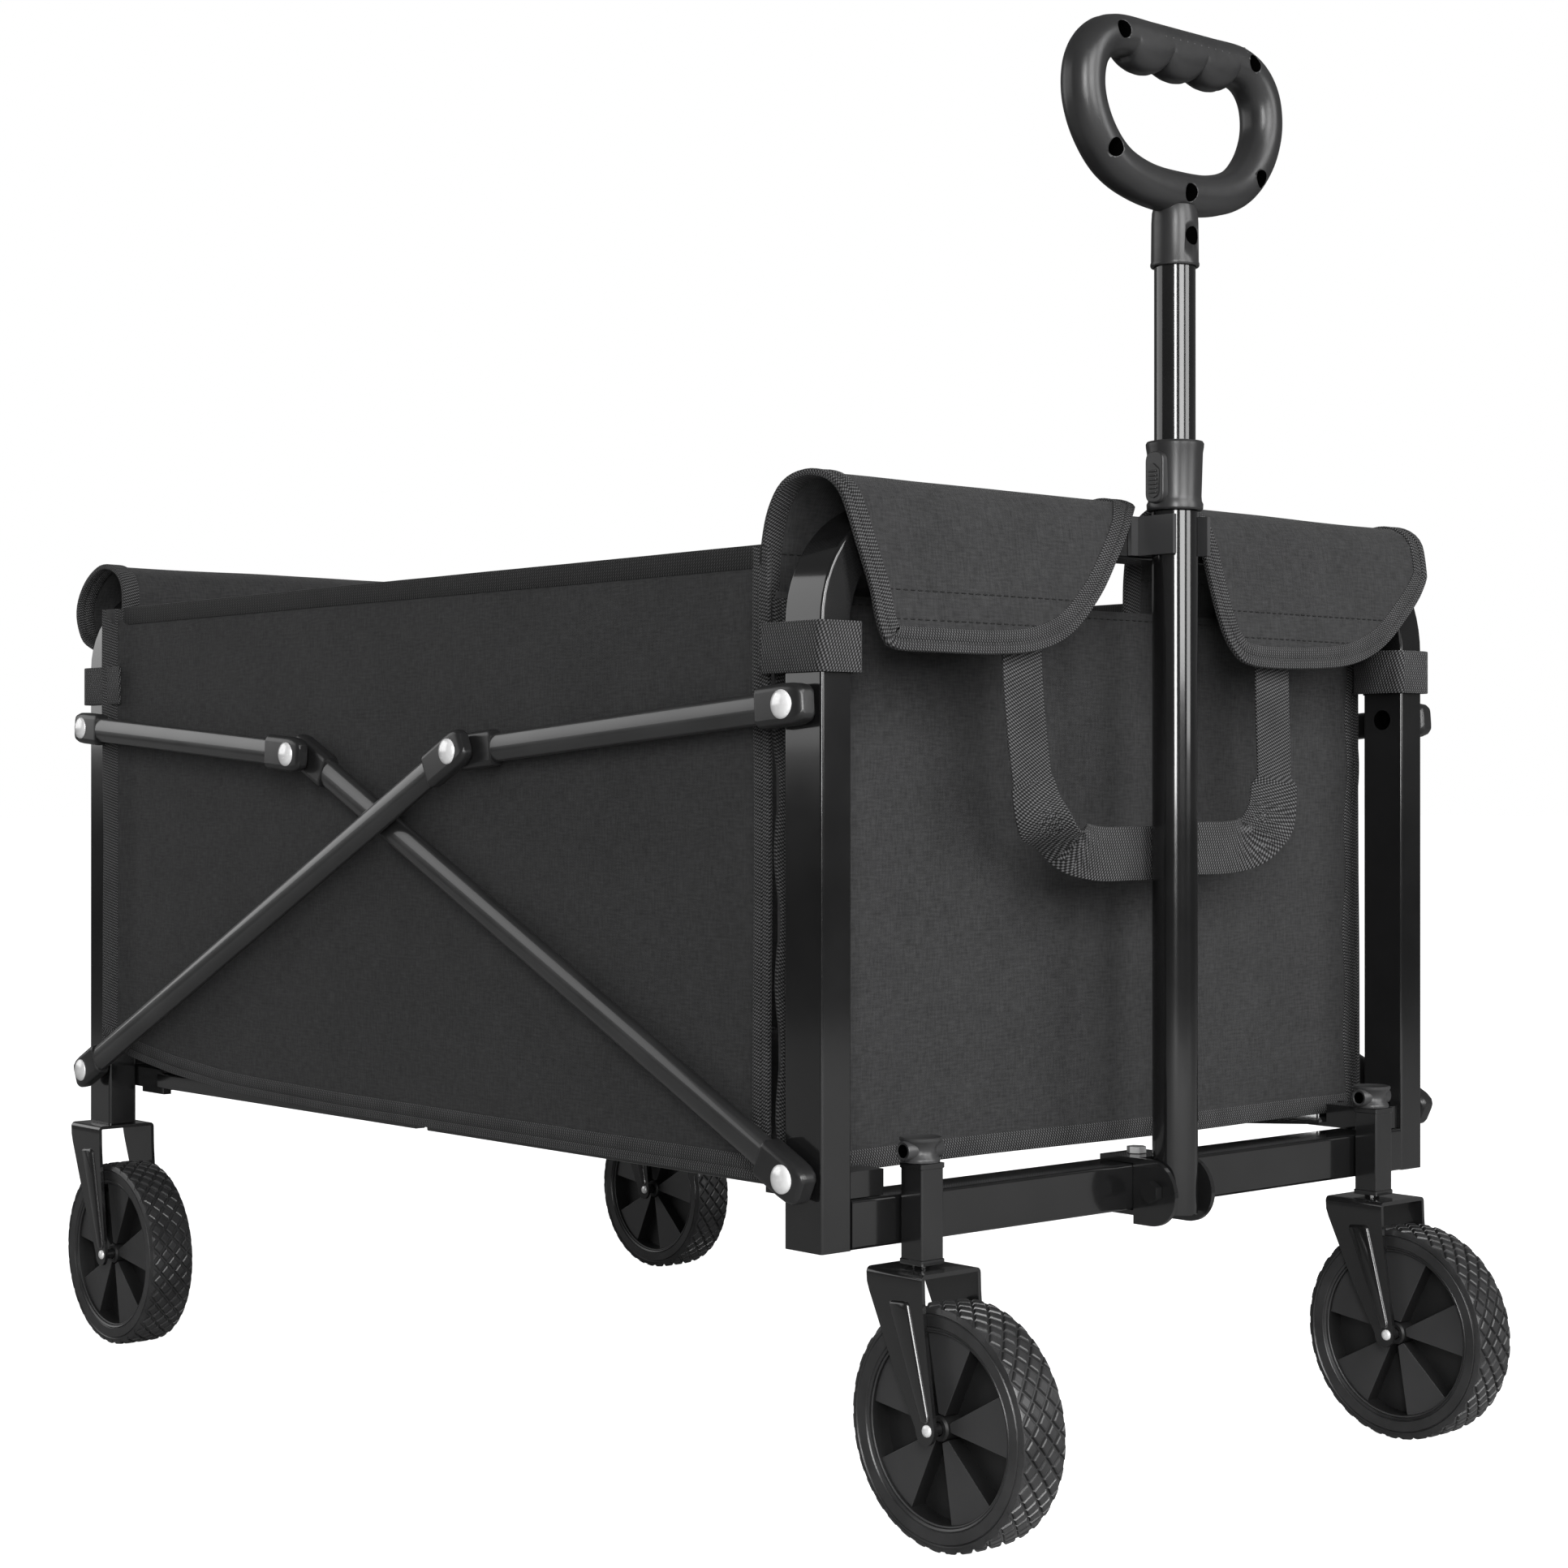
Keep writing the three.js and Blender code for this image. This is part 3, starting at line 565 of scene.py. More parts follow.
def side_bar(kind, side, sign, root, tip, own_tip_rivet):
    """A flat tube between two pivots, a moulded cap on each end, and its rivets."""
    body = f"{kind}_{side}"
    height, depth, start, end = BAR_LOOKS[kind]
    out = Vector((0, sign, 0))
    face = HALF * MM
    root = Vector((root.x, 0, root.z))
    tip = Vector((tip.x, 0, tip.z))
    run = (tip - root).length
    toward = (tip - root) / run
    lean = (end - start) * MM / run

    def on(distance_mm, off_mm):
        """A point this far along the bar, off_mm out from the bar's inner face."""
        d = distance_mm * MM
        return root + toward * d + out * (face + start * MM + lean * d + off_mm * MM)

    reach = run / MM
    tube = sweep(f"{body}_tube", [on(10, depth / 2), on(reach - 10, depth / 2)],
                 oval(height, depth, BAR_POWER), Vector((0, 0, 1)), BAR_PAINT)
    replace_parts(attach(tube, body), body)
    inner_bar = start == end
    clear = 0.6 if inner_bar else 3.6
    root_depth = HEAD_PROUD - 1.2 - clear
    tip_depth = depth + 1.2
    root_in = clear - start
    for label, places, cap_depth, inward in (
            ("root", (19, 17.5, 0, -5, -9, -10.9, -11.9), root_depth, root_in),
            ("tip", (reach - 24, reach - 22.5, reach, reach + 5, reach + 9, reach + 10.9, reach + 11.9),
             tip_depth, -0.6)):
        path = [on(d, inward + cap_depth / 2) for d in places]
        scales = [(0.93, 0.9), (1, 1), (1, 1), (0.97, 0.97), (0.86, 0.86), (0.7, 0.7), (0.5, 0.5)]
        cap = sweep(f"{body}_{label}_cap", path, rounded_box(ROOT_CAP, cap_depth, 3.6, 5),
                    Vector((0, 0, 1)), CAP_PLASTIC, scales)
        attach(crisp(cap), body)
    heads = [(root, HEAD_PROUD - 1.4)]
    if own_tip_rivet:
        heads.append((tip, end + tip_depth - 0.6))
    parts = [rivet_head(p, face / MM + off, sign) for p, off in heads]
    points, faces, uv = joined(parts)
    head = piece(f"{body}_rivets", points, faces, RIVET, uv, 40)
    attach(head, body)


def rivet_head(point, y, sign):
    """A low dome with a thin flange."""
    profile = [(0.01, -1.0), (6.7, -1.0), (6.7, 0.5), (6.3, 1.0), (5.2, 1.7), (3.6, 2.3), (1.8, 2.6),
               (0.01, 2.7)]
    return disc(profile, Vector((point.x, sign * y * MM, point.z)), "Y", 36, sign)


def linkage():
    front_low = pivots["fold"]
    rear_low_point = pivots["rear_post_left"]
    crossing = pivots["crossing_left"]
    front_high = pivots["front_link_pivot_left"]
    rear_high_point = pivots["rear_link_pivot_left"]
    stretch = 1 + 87.0 / 367.4
    rear_middle = front_low + (crossing - front_low) * stretch
    front_middle = rear_low_point + (crossing - rear_low_point) * stretch
    for side, sign in SIDES:
        side_bar("front_diagonal", side, sign, front_low, rear_middle, False)
        side_bar("rear_diagonal", side, sign, rear_low_point, front_middle, True)
        side_bar("front_link", side, sign, front_high, front_middle, False)
        side_bar("rear_link", side, sign, rear_high_point, rear_middle, True)


# ---------------------------------------------------------------- wheels
WHEEL_R = 56.2
TREAD_HALF = 13.6


def inset(corners, distance):
    """A convex flat polygon with every side moved inwards."""
    count = len(corners)
    area = sum(a.cross(b) for a, b in zip(corners, corners[1:] + corners[:1]))
    turn = 1 if area > 0 else -1
    moved = []
    for a, b in zip(corners, corners[1:] + corners[:1]):
        run = (b - a).normalized()
        normal = Vector((-run.y, run.x)) * turn
        moved.append((a + normal * distance, run))
    made = []
    for n in range(count):
        (p, r), (q, t) = moved[n - 1], moved[n]
        made.append(p + r * ((q - p).cross(t) / r.cross(t)))
    return made


def shrunk(outline, distance):
    """A closed line of many points, going anticlockwise, with each point moved inwards."""
    made = []
    for before, spot, after in zip(outline[-1:] + outline[:-1], outline, outline[1:] + outline[:1]):
        run = (after - before).normalized()
        made.append(spot + Vector((-run.y, run.x)) * distance)
    return made


def tread_tile(corners, centre):
    """One raised block, from flat corners of (distance round, distance across)."""
    rings = []
    for below, margin in ((1.9, 0.25), (1.1, 0.5), (0.3, 0.95), (0.0, 1.6)):
        ring = []
        for u, v in inset(corners, margin):
            angle = u / WHEEL_R
            out = WHEEL_R - below - 0.9 * (abs(v) / TREAD_HALF) ** 6
            ring.append(centre + Vector((out * math.cos(angle), v, out * math.sin(angle))) * MM)
        rings.append(ring)
    return loft(rings)


def tyre_mesh(centre):
    """A solid tyre with rows of diamond blocks; half blocks finish both shoulders."""
    base = WHEEL_R - 1.3
    half = TREAD_HALF
    wall = [(44.2, half - 2.4), (44.5, half - 0.8), (45.4, half - 0.2), (45.8, half - 0.6), (46.3, half),
            (51.2, half + 0.4), (51.7, half - 0.2), (52.3, half + 0.4), (53.4, half + 0.1),
            (base - 0.2, half - 0.3)]
    profile = [(r, -h) for r, h in wall] + [(base, 0)] + [(r, h) for r, h in reversed(wall)]
    parts = [turned(profile, centre, "Y", 160)]
    around, across = 34, 3
    p = 2 * math.pi * WHEEL_R / around
    q = 2 * half / across
    for i in range(around):
        for k in range(1 - across, across):
            u, v = p * (2 * i - k) / 2, q * k / 2
            corners = [Vector((u - p / 2, v)), Vector((u, v - q / 2)), Vector((u + p / 2, v)),
                       Vector((u, v + q / 2))]
            parts.append(tread_tile(corners, centre))
        for side in (1, -1):
            u = p * (2 * i - side * across) / 2
            corners = [Vector((u - p / 2, side * (half + 0.6))), Vector((u + p / 2, side * (half + 0.6))),
                       Vector((u, side * (half - q / 2)))]
            parts.append(tread_tile(corners, centre))
    return joined(parts)


def wedge(start, end, inner, outer, low, high, centre):
    """One raised blade of a rim: a sector between two radii, thick from low to high along Y."""
    steps = 7
    outline = [(inner, start), (inner, end)]
    outline += [(outer, end + (start - end) * n / steps) for n in range(steps + 1)]
    rings = []
    for level in (low, high):
        ring = []
        for r, degrees in outline:
            angle = math.radians(degrees)
            ring.append(centre + Vector((r * math.cos(angle), level, r * math.sin(angle))) * MM)
        rings.append(ring)
    return loft(rings)


def rim_mesh(centre):
    """Rim ring, a sunk web and a hub; five blades stand out between them on both faces."""
    ring = [(43.0, -9.0), (43.3, -11.8), (43.9, -12.4), (44.5, -11.9), (44.5, 11.9), (43.9, 12.4),
            (43.3, 11.8), (43.0, 9.0)]
    hub = [(3.4, -12.0), (5.0, -12.0), (5.9, -11.0), (6.1, -2), (6.1, 2), (5.9, 11.0), (5.0, 12.0),
           (3.4, 12.0)]
    web = [(5.6, -2.2), (43.4, -2.2), (43.4, 2.2), (5.6, 2.2)]
    blades = [turned(ring, centre, "Y", 96)]
    for n in range(5):
        middle = 82 + 72 * n
        blades.append(wedge(middle - 18.6, middle + 18.6, 6.6, 43.3, -10.6, 10.6, centre))
    return joined(blades), joined([turned(web, centre, "Y", 72), turned(hub, centre, "Y", 40)])


def shade_sides(rim, centre):
    """The walls of the recesses between the blades take the darker, rougher web plastic: painted shade in the
    recesses.
    """
    rim.data.materials.append(HUB_WEB_PLASTIC_AND_RECESS_SHADE)
    for face in rim.data.polygons:
        out = math.hypot(face.center.x - centre.x, face.center.z - centre.z) / MM
        if abs(face.normal.y) < 0.5 and out < 43.2:
            face.material_index = 1


def axle_ends(centre, reach):
    """The two small domes outside the fork."""
    parts = []
    for sign in (1, -1):
        profile = [(0.01, reach - 1), (2.8, reach - 1), (2.8, reach + 0.5), (2.3, reach + 1.1),
                   (1.2, reach + 1.5), (0.01, reach + 1.6)]
        parts.append(disc(profile, centre, "Y", 28, sign))
    return joined(parts)


def axle_rod(centre, reach):
    """The bare rod between the fork's legs."""
    return disc([(0.01, -reach), (3.0, -reach), (3.0, reach), (0.01, reach)], centre, "Y", 24)


FORK_HALF = 18.0                    # middle plane to the middle of a leg's sheet
FORK_BEND = 1.6
FORK_NOSE = 7.0
FORK_REAR = [(0.0, -40.0), (0.1, -39.5), (0.4, -29.6), (0.63, -21.9), (1.0, -7.6)]      # share down, X
FORK_FRONT = [(0.0, -3.4), (0.17, -3.0), (0.33, -1.8), (0.54, 0.0), (1.0, 4.6)]


def fork_sheet(y, top, axle_x):
    """The fork as one folded sheet: up one leg, over the crown, down the other."""
    half, bend = FORK_HALF, FORK_BEND
    drop = top - WHEEL_R
    middle = axle_x + (FORK_REAR[-1][1] + FORK_FRONT[-1][1]) / 2
    path = [(half, WHEEL_R - FORK_NOSE * math.sin(math.radians(a))) for a in (88, 70, 50, 30, 14)]
    steps = 16
    path += [(half, WHEEL_R + (drop - bend) * n / steps) for n in range(steps + 1)]
    path += [(half - bend + bend * math.cos(math.radians(a)), top - bend + bend * math.sin(math.radians(a)))
             for a in (22, 45, 68, 90)]
    crown = [(half - bend) * (1 - 2 * n / 8) for n in range(1, 8)]
    path += [(v, top) for v in crown]
    path += [(-u, z) for u, z in reversed(path[:-len(crown)])]
    columns = 12
    points, faces, uv = [], [], []
    for u, z in path:
        if z < WHEEL_R:
            span = math.sqrt(max(0.05, FORK_NOSE ** 2 - (WHEEL_R - z) ** 2)) * 6.05 / FORK_NOSE
            x0, x1 = middle - span, middle + span
        else:
            share = (top - z) / drop
            x0, x1 = axle_x + value_at(FORK_REAR, share), axle_x + value_at(FORK_FRONT, share)
        for n in range(columns + 1):
            points.append(at(x0 + (x1 - x0) * n / columns, y + u, z))
    for i in range(len(path) - 1):
        for j in range(columns):
            a = i * (columns + 1) + j
            face = (a, a + 1, a + columns + 2, a + columns + 1)
            faces.append(face)
            uv.append([(points[k].x, points[k].z) for k in face])
    return points, faces, uv


def fork(name, y, top, axle_x, body, node):
    points, faces, uv = fork_sheet(y, top, axle_x)
    sheet = piece(name, points, faces, CASTER_PAINT, uv, 60, loose=True)
    thick = sheet.modifiers.new("thick", "SOLIDIFY")
    thick.thickness = 2.0 * MM
    thick.offset = 0.0
    baked(sheet)
    soften(sheet, 0.35, 2, 50)
    drop = top - WHEEL_R
    outline = rounded_outline([(axle_x - 3.2, WHEEL_R + 2.8, 1.5), (axle_x + 1.7, WHEEL_R + 4.0, 1.5),
                               (axle_x - 12.0, top - 0.17 * drop, 2.5),
                               (axle_x - 24.9, top - 0.185 * drop, 2.5)], 1.5)
    ribs = []
    for sign in (1, -1):
        rings = []
        for margin, level in ((0.0, 18.6), (0.0, 19.3), (0.5, 20.0), (1.2, 20.4)):
            rings.append([at(p.x, y + sign * level, p.y) for p in shrunk(outline, margin)])
        ribs.append(loft(rings))
    points, faces, uv = joined(ribs)
    rib = piece(f"{name}_ribs", points, faces, CASTER_PAINT, uv)
    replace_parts(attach(sheet, body), node)
    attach(rib, body)


def wheels():
    """Four wheels, each with its tyre, rim, axle and fork."""
    for end in ("front", "rear"):
        for side, _ in SIDES:
            name = f"{end}_{side}"
            hub = pivots[f"{end}_wheel_spin_{side}"]
            body = f"{end}_wheel_{side}"
            carrier = f"caster_{side}" if end == "front" else "rear_frame"
            tyre = piece(f"{name}_tyre_tread", *tyre_mesh(hub)[:2], RUBBER, sharp=25)
            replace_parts(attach(tyre, body), f"{name}_tyre")
            blades, web = rim_mesh(hub)
            rim = piece(f"{name}_rim_blades", *blades[:2], RIM_PLASTIC)
            shade_sides(rim, hub)
            soften(rim, 0.4, 2, 40)
            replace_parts(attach(rim, body), f"{name}_rim")
            back = piece(f"{name}_rim_web", *web[:2], HUB_WEB_PLASTIC_AND_RECESS_SHADE)
            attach(back, body)
            axle = piece(f"{name}_axle_ends", *axle_ends(hub, FORK_HALF + 1)[:2], RIVET, sharp=40)
            rod = piece(f"{name}_axle_rod", *axle_rod(hub, FORK_HALF)[:2], CASTER_PAINT, sharp=40)
            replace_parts(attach(axle, carrier), f"{name}_axle")
            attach(rod, carrier)
            x, y, _ = local(hub)
            node = f"caster_fork_{side}" if end == "front" else f"rear_fork_{side}"
            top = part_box(node)[1].z / MM
            fork(f"{name}_fork", y, top - 0.8, x, carrier, node)


# ---------------------------------------------------------------- cloth
class Pattern:
    """A flat cut and the way it lies in space. place(a, b) turns flat millimetres into a point."""

    def __init__(self, place, waves=0.0, seed=0.0):
        self.bare = place
        self.waves = waves
        self.seed = seed

    def point(self, a, b):
        spot = self.bare(a, b)
        if self.waves:
            spot = spot + self.bare_normal(a, b) * (self.ripple(a, b) * MM)
        return spot

    def ripple(self, a, b):
        broad = noise.noise(Vector((a / 95.0, b / 120.0, self.seed)))
        fine = noise.noise(Vector((a / 34.0, b / 48.0, self.seed + 9)))
        return self.waves * (broad + 0.3 * fine)

    def bare_normal(self, a, b):
        step = 1.0
        du = self.bare(a + step, b) - self.bare(a - step, b)
        dv = self.bare(a, b + step) - self.bare(a, b - step)
        return du.cross(dv).normalized()

    def normal(self, a, b):
        step = 1.5
        du = self.point(a + step, b) - self.point(a - step, b)
        dv = self.point(a, b + step) - self.point(a, b - step)
        return du.cross(dv).normalized()

    def off(self, a, b, height):
        return self.point(a, b) + self.normal(a, b) * (height * MM)


def spaced(line, step, closed=False):
    """A flat line resampled at even steps."""
    points = [Vector(p) for p in line]
    if closed:
        points.append(points[0])
    total = lengths(points)
    count = max(2, round(total[-1] / step))
    made = []
    i = 0
    for n in range(count + (0 if closed else 1)):
        want = total[-1] * n / count
        while i < len(total) - 2 and total[i + 1] < want:
            i += 1
        span = total[i + 1] - total[i]
        t = (want - total[i]) / span if span else 0
        made.append(points[i].lerp(points[i + 1], t))
    return made


def rounded_outline(corners, step=5.0):
    """A closed flat outline from (a, b, radius) corners."""
    line = []
    count = len(corners)
    for i, (a, b, radius) in enumerate(corners):
        here = Vector((a, b))
        before = Vector(corners[i - 1][:2])
        after = Vector(corners[(i + 1) % count][:2])
        if radius <= 0:
            line.append(here)
            continue
        start = here + (before - here).normalized() * radius
        end = here + (after - here).normalized() * radius
        for n in range(7):
            t = n / 6
            line.append(start.lerp(here, t).lerp(here.lerp(end, t), t))
    return spaced(line, step, closed=True)


def sheet_mesh(name, pattern, outline, material, grid=8.0):
    """The cut piece laid in space as one triangulated sheet."""
    border = [Vector(p) for p in outline]
    low = Vector((min(p.x for p in border), min(p.y for p in border)))
    high = Vector((max(p.x for p in border), max(p.y for p in border)))
    points = list(border)
    edges = [(n, (n + 1) % len(border)) for n in range(len(border))]
    columns = max(1, round((high.x - low.x) / grid))
    rows = max(1, round((high.y - low.y) / grid))
    for i in range(1, columns):
        for j in range(1, rows):
            spot = Vector((low.x + (high.x - low.x) * i / columns, low.y + (high.y - low.y) * j / rows))
            if inside(spot, border) and min((spot - p).length for p in border) > grid * 0.45:
                points.append(spot)
    flat, _, faces, *_ = delaunay_2d_cdt(points, edges, [], 1, 1e-4)
    placed = [pattern.point(p.x, p.y) for p in flat]
    uv = [[(flat[n].x * MM, flat[n].y * MM) for n in face] for face in faces]
    return piece(name, placed, [tuple(f) for f in faces], material, uv, 180, loose=True)


def inside(spot, border):
    found = False
    for a, b in zip(border, border[1:] + border[:1]):
        if (a.y > spot.y) != (b.y > spot.y):
            if spot.x < (b.x - a.x) * (spot.y - a.y) / (b.y - a.y) + a.x:
                found = not found
    return found


def thicken(obj, amount=1.0):
    made = obj.modifiers.new("thick", "SOLIDIFY")
    made.thickness = amount * MM
    made.offset = 0.0
    return baked(obj)


def binding(name, pattern, line, width, closed=False, inward=1, height=1.5, bead=0.34, material=None):
    """Folded tape sewn over an edge. line is the edge in the flat, and inward the side the cloth is on.

    A groove runs along it, a share bead of its width from the edge; a bead of 0 leaves it plain."""
    count = len(line)
    groove = [(bead * width - 0.4, height * 0.95), (bead * width + 0.1, height * 0.45),
              (bead * width + 0.8, height * 0.45), (bead * width + 1.4, height * 0.9)] if bead else []
    section = [(-1.0, 0.0), (-0.6, height * 0.8), (0.6, height), *groove, (width - 0.9, height),
               (width, height * 0.6), (width, -height * 0.6), (width - 0.9, -height), (0.6, -height),
               (-0.6, -height * 0.8)]
    rings = []
    for i, spot in enumerate(line):
        before = line[i - 1] if i or closed else spot
        after = line[(i + 1) % count] if i + 1 < count or closed else spot
        tangent = (after - before).normalized()
        across = Vector((-tangent.y, tangent.x)) * inward
        ring = []
        for d, h in section:
            flat = spot + across * d
            ring.append(pattern.off(flat.x, flat.y, h))
        rings.append(ring)
    points, faces, uv = loft(rings, closed_path=closed)
    return piece(name, points, faces, material or BINDING, uv, 50)


def stitch_row(pattern, line, length=3.2, gap=1.6, lift=0.75, radius=0.32):
    """Dashes of thread along a flat line: each a small lens with pointed ends."""
    path = spaced(line, length + gap)
    parts = []
    for a, b in zip(path, path[1:]):
        stop = a.lerp(b, length / (length + gap))
        rings = []
        for t, r in ((0, 0.35), (0.2, 1), (0.8, 1), (1, 0.35)):
            spot = a.lerp(stop, t)
            middle = pattern.off(spot.x, spot.y, lift)
            up = pattern.normal(spot.x, spot.y)
            run = (pattern.off(stop.x, stop.y, lift) - pattern.off(a.x, a.y, lift)).normalized()
            side = run.cross(up)
            rings.append([middle + (up * math.sin(g) * 0.7 + side * math.cos(g)) * (radius * r * MM)
                          for g in (0, 1.05, 2.09, 3.14, 4.19, 5.24)])
        parts.append(loft(rings))
    return parts


def stitching(name, rows):
    points, faces, _ = joined([part for row in rows for part in row])
    return piece(name, points, faces, THREAD, sharp=80)


class Drape:
    """A flap's shape seen from the side, as (distance out from the posts' outer face, height) points."""

    def __init__(self, points, crown, place):
        self.curve = smooth_curve(points, 3.0)
        self.run = lengths(self.curve)
        self.crown = crown
        self.place = place
        outer = [(p.y, s) for p, s in zip(self.curve, self.run) if p.x > crown]
        inner = [(p.y, s) for p, s in zip(self.curve, self.run) if p.x <= crown]
        self.outer = sorted(outer)
        self.inner = sorted(inner)

    def spot(self, s):
        if s <= 0:
            return self.curve[0] + (self.curve[0] - self.curve[1]).normalized() * -s
        for i in range(len(self.run) - 1):
            if s <= self.run[i + 1]:
                t = (s - self.run[i]) / (self.run[i + 1] - self.run[i])
                return self.curve[i].lerp(self.curve[i + 1], t)
        return self.curve[-1] + (self.curve[-1] - self.curve[-2]).normalized() * (s - self.run[-1])

    def point(self, s, y):
        spot = self.spot(s)
        return self.place(spot.x, y, spot.y)

    def reach(self, height, outside=True):
        """How far along the cut the outer (or inner) leg passes a height."""
        return value_at(self.outer if outside else self.inner, height)


# The flaps in side view, from the foot of the inner leg over the rail: (outwards, up).
FRONT_DRAPE = Drape([(-45.0, 400), (-45.3, 430), (-44.5, 456), (-41.0, 474), (-33.5, 486), (-21.0, 490.5),
                     (-8.0, 488.5), (0.2, 482), (3.2, 471), (5.0, 457), (7.6, 438), (10.5, 412), (13.0, 396)],
                    -20, at)
REAR_DRAPE = Drape([(-36, 400), (-36.5, 430), (-37.5, 452), (-38, 468), (-33, 478.5), (-22, 484.5),
                    (-8, 485.5), (8, 478.5), (19, 467), (21.5, 455), (14, 441), (2, 434), (-3, 424)],
                   -15, lambda out, y, z: at(REAR_FACE - out, y, z))


def flap(name, drape, sides, edge_points, node, body, seed, foot, inner_rows, outer_rows):
    """One flap over a rail: up the inside, over the top, and down outside to its free edge.

    sides holds its two side lines, each a list of (height, outside, Y); edge_points give the free edge from
    the first side to the second. The rows of stitches are heights on the inner and the outer leg."""
    pattern = Pattern(drape.point, 0.9, seed)
    start = drape.reach(foot, outside=False)
    edge = [Vector((drape.reach(p[1]), p[0])) for p in smooth_curve(edge_points, 5.0)]
    leans = [[(drape.reach(height, outside), y) for height, outside, y in side] for side in sides]
    up = spaced([Vector((start, 0)), Vector((edge[0].x - 4, 0))], 5.0)
    down = spaced([Vector((edge[-1].x - 4, 0)), Vector((start, 0))], 5.0)
    outline = [Vector((p.x, value_at(leans[0], p.x))) for p in up] + edge
    outline += [Vector((p.x, value_at(leans[1], p.x))) for p in down]
    outline = tidy_line(outline)
    cloth = thicken(sheet_mesh(name, pattern, outline, CLOTH))
    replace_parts(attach(cloth, body), node)
    inward = 1 if leans[1][0][1] > leans[0][0][1] else -1
    tape = binding(f"{name}_binding", pattern, spaced(outline, 3.5), 10.5, inward=inward, height=1.7)
    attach(tape, body)
    rows = []
    for outside, heights in ((False, inner_rows), (True, outer_rows)):
        for height in heights:
            s = drape.reach(height, outside)
            across = [p.y for p in outline if abs(p.x - s) < 6.0]
            low, high = min(across) + 11, max(across) - 11
            for lift in (0.8, -0.8):
                rows.append(stitch_row(pattern, [Vector((s, low)), Vector((s, high))], lift=lift))
    thread = stitching(f"{name}_stitches", rows)
    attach(thread, body)


def tidy_line(line):
    """Drops points that nearly coincide with the one before."""
    kept = [line[0]]
    for p in line[1:]:
        if (p - kept[-1]).length > 1.0:
            kept.append(p)
    return kept


def flaps():
    """Two flaps over the front rail, one over the rear rail."""
    near_side = [(440, False, -222), (474, False, -220), (483, True, -215), (460, True, -208),
                 (437, True, -201), (414, True, -197)]
    near_edge = [(-197, 418), (-194.5, 412), (-188, 409.8), (-160, 409.5), (-124, 409.8), (-96, 412.5),
                 (-72, 421), (-48, 441), (-30, 464), (-18, 481), (-9, 487)]
    flap("front_flap_near", FRONT_DRAPE, (near_side, [(440, False, -9)]), near_edge, "front_flap_right",
         "front_frame", 1.0, 402, (455, 437), (437, 423.5))
    far_edge = [(30, 484), (35, 463), (42, 432), (51, 416), (66, 409.5), (110, 409.5), (148, 413), (176, 423),
                (200, 440), (214, 452), (222, 462)]
    far_sides = ([(440, False, 30)], [(440, False, 222)])
    flap("front_flap_far", FRONT_DRAPE, far_sides, far_edge, "front_flap_left",
         "front_frame", 2.0, 402, (455, 437), (437, 423.5))
    rear_edge = [(222, 442), (219, 432), (211, 424), (196, 421), (0, 420), (-196, 421), (-211, 424),
                 (-219, 432), (-222, 442)]
    rear_sides = ([(440, False, 222)], [(440, False, -222)])
    flap("rear_flap_cloth", REAR_DRAPE, rear_sides, rear_edge, "rear_flap",
         "rear_frame", 3.0, 402, (455,), (447, 432))


WALL_X = -40.5
PANEL_TOP = 458.0


def squashed(obj):
    """Gives a piece its own copy of its mesh."""
    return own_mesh(obj)


def front_wall():
    """The front wall: a flat cut from the floor to under the flaps, with soft upright folds."""
    def place(a, b):
        sag = 2.2 * math.sin(a / 47.0 + 0.6) * ease((430 - b) / 180)
        return at(WALL_X + 1.5 + sag, a, b)

    pattern = Pattern(place, 1.6, 4.0)
    outline = rounded_outline([(-218, 166, 0), (218, 166, 0), (218, 437, 0), (-218, 437, 0)], 8.0)
    cloth = thicken(sheet_mesh("front_wall_cloth", pattern, outline, CLOTH, 10.0))
    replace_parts(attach(cloth, "front_frame"), "front_panel")
    hem = binding("front_wall_hem", pattern, spaced([Vector((-218, 165.5)), Vector((218, 165.5))], 6.0), 9,
                  inward=1, bead=0)
    rows = [stitch_row(pattern, [Vector((-205, 433)), Vector((205, 433))], lift=0.8)]
    thread = stitching("front_wall_stitches", rows)
    extras = [hem, thread]
    for side, sign in SIDES:
        line = [Vector((sign * (217.5 + 1.4 * math.sin(n * 1.1 + sign)), 171 + n * 10.5)) for n in range(26)]
        extras.append(binding(f"front_wall_{side}_binding", pattern, smooth_curve(line, 5.0), 9.5,
                              inward=sign, height=1.6))
    for extra in extras:
        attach(extra, "front_frame")


def rear_wall():
    """The rear wall, cut like the front one."""
    x_rear = local(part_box("rear_panel")[0])[0]

    def place(a, b):
        sag = 2.0 * math.sin(a / 51.0 + 2.0) * ease((430 - b) / 180)
        return at(x_rear + 1.5 + sag, -a, b)

    pattern = Pattern(place, 1.6, 5.0)
    outline = rounded_outline([(-218, 186, 0), (218, 186, 0), (218, 440, 0), (-218, 440, 0)], 8.0)
    cloth = thicken(sheet_mesh("rear_wall_cloth", pattern, outline, CLOTH, 10.0))
    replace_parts(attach(cloth, "rear_frame"), "rear_panel")
    hem = binding("rear_wall_hem", pattern, spaced([Vector((-218, 185)), Vector((218, 185))], 6.0), 11)
    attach(hem, "rear_frame")


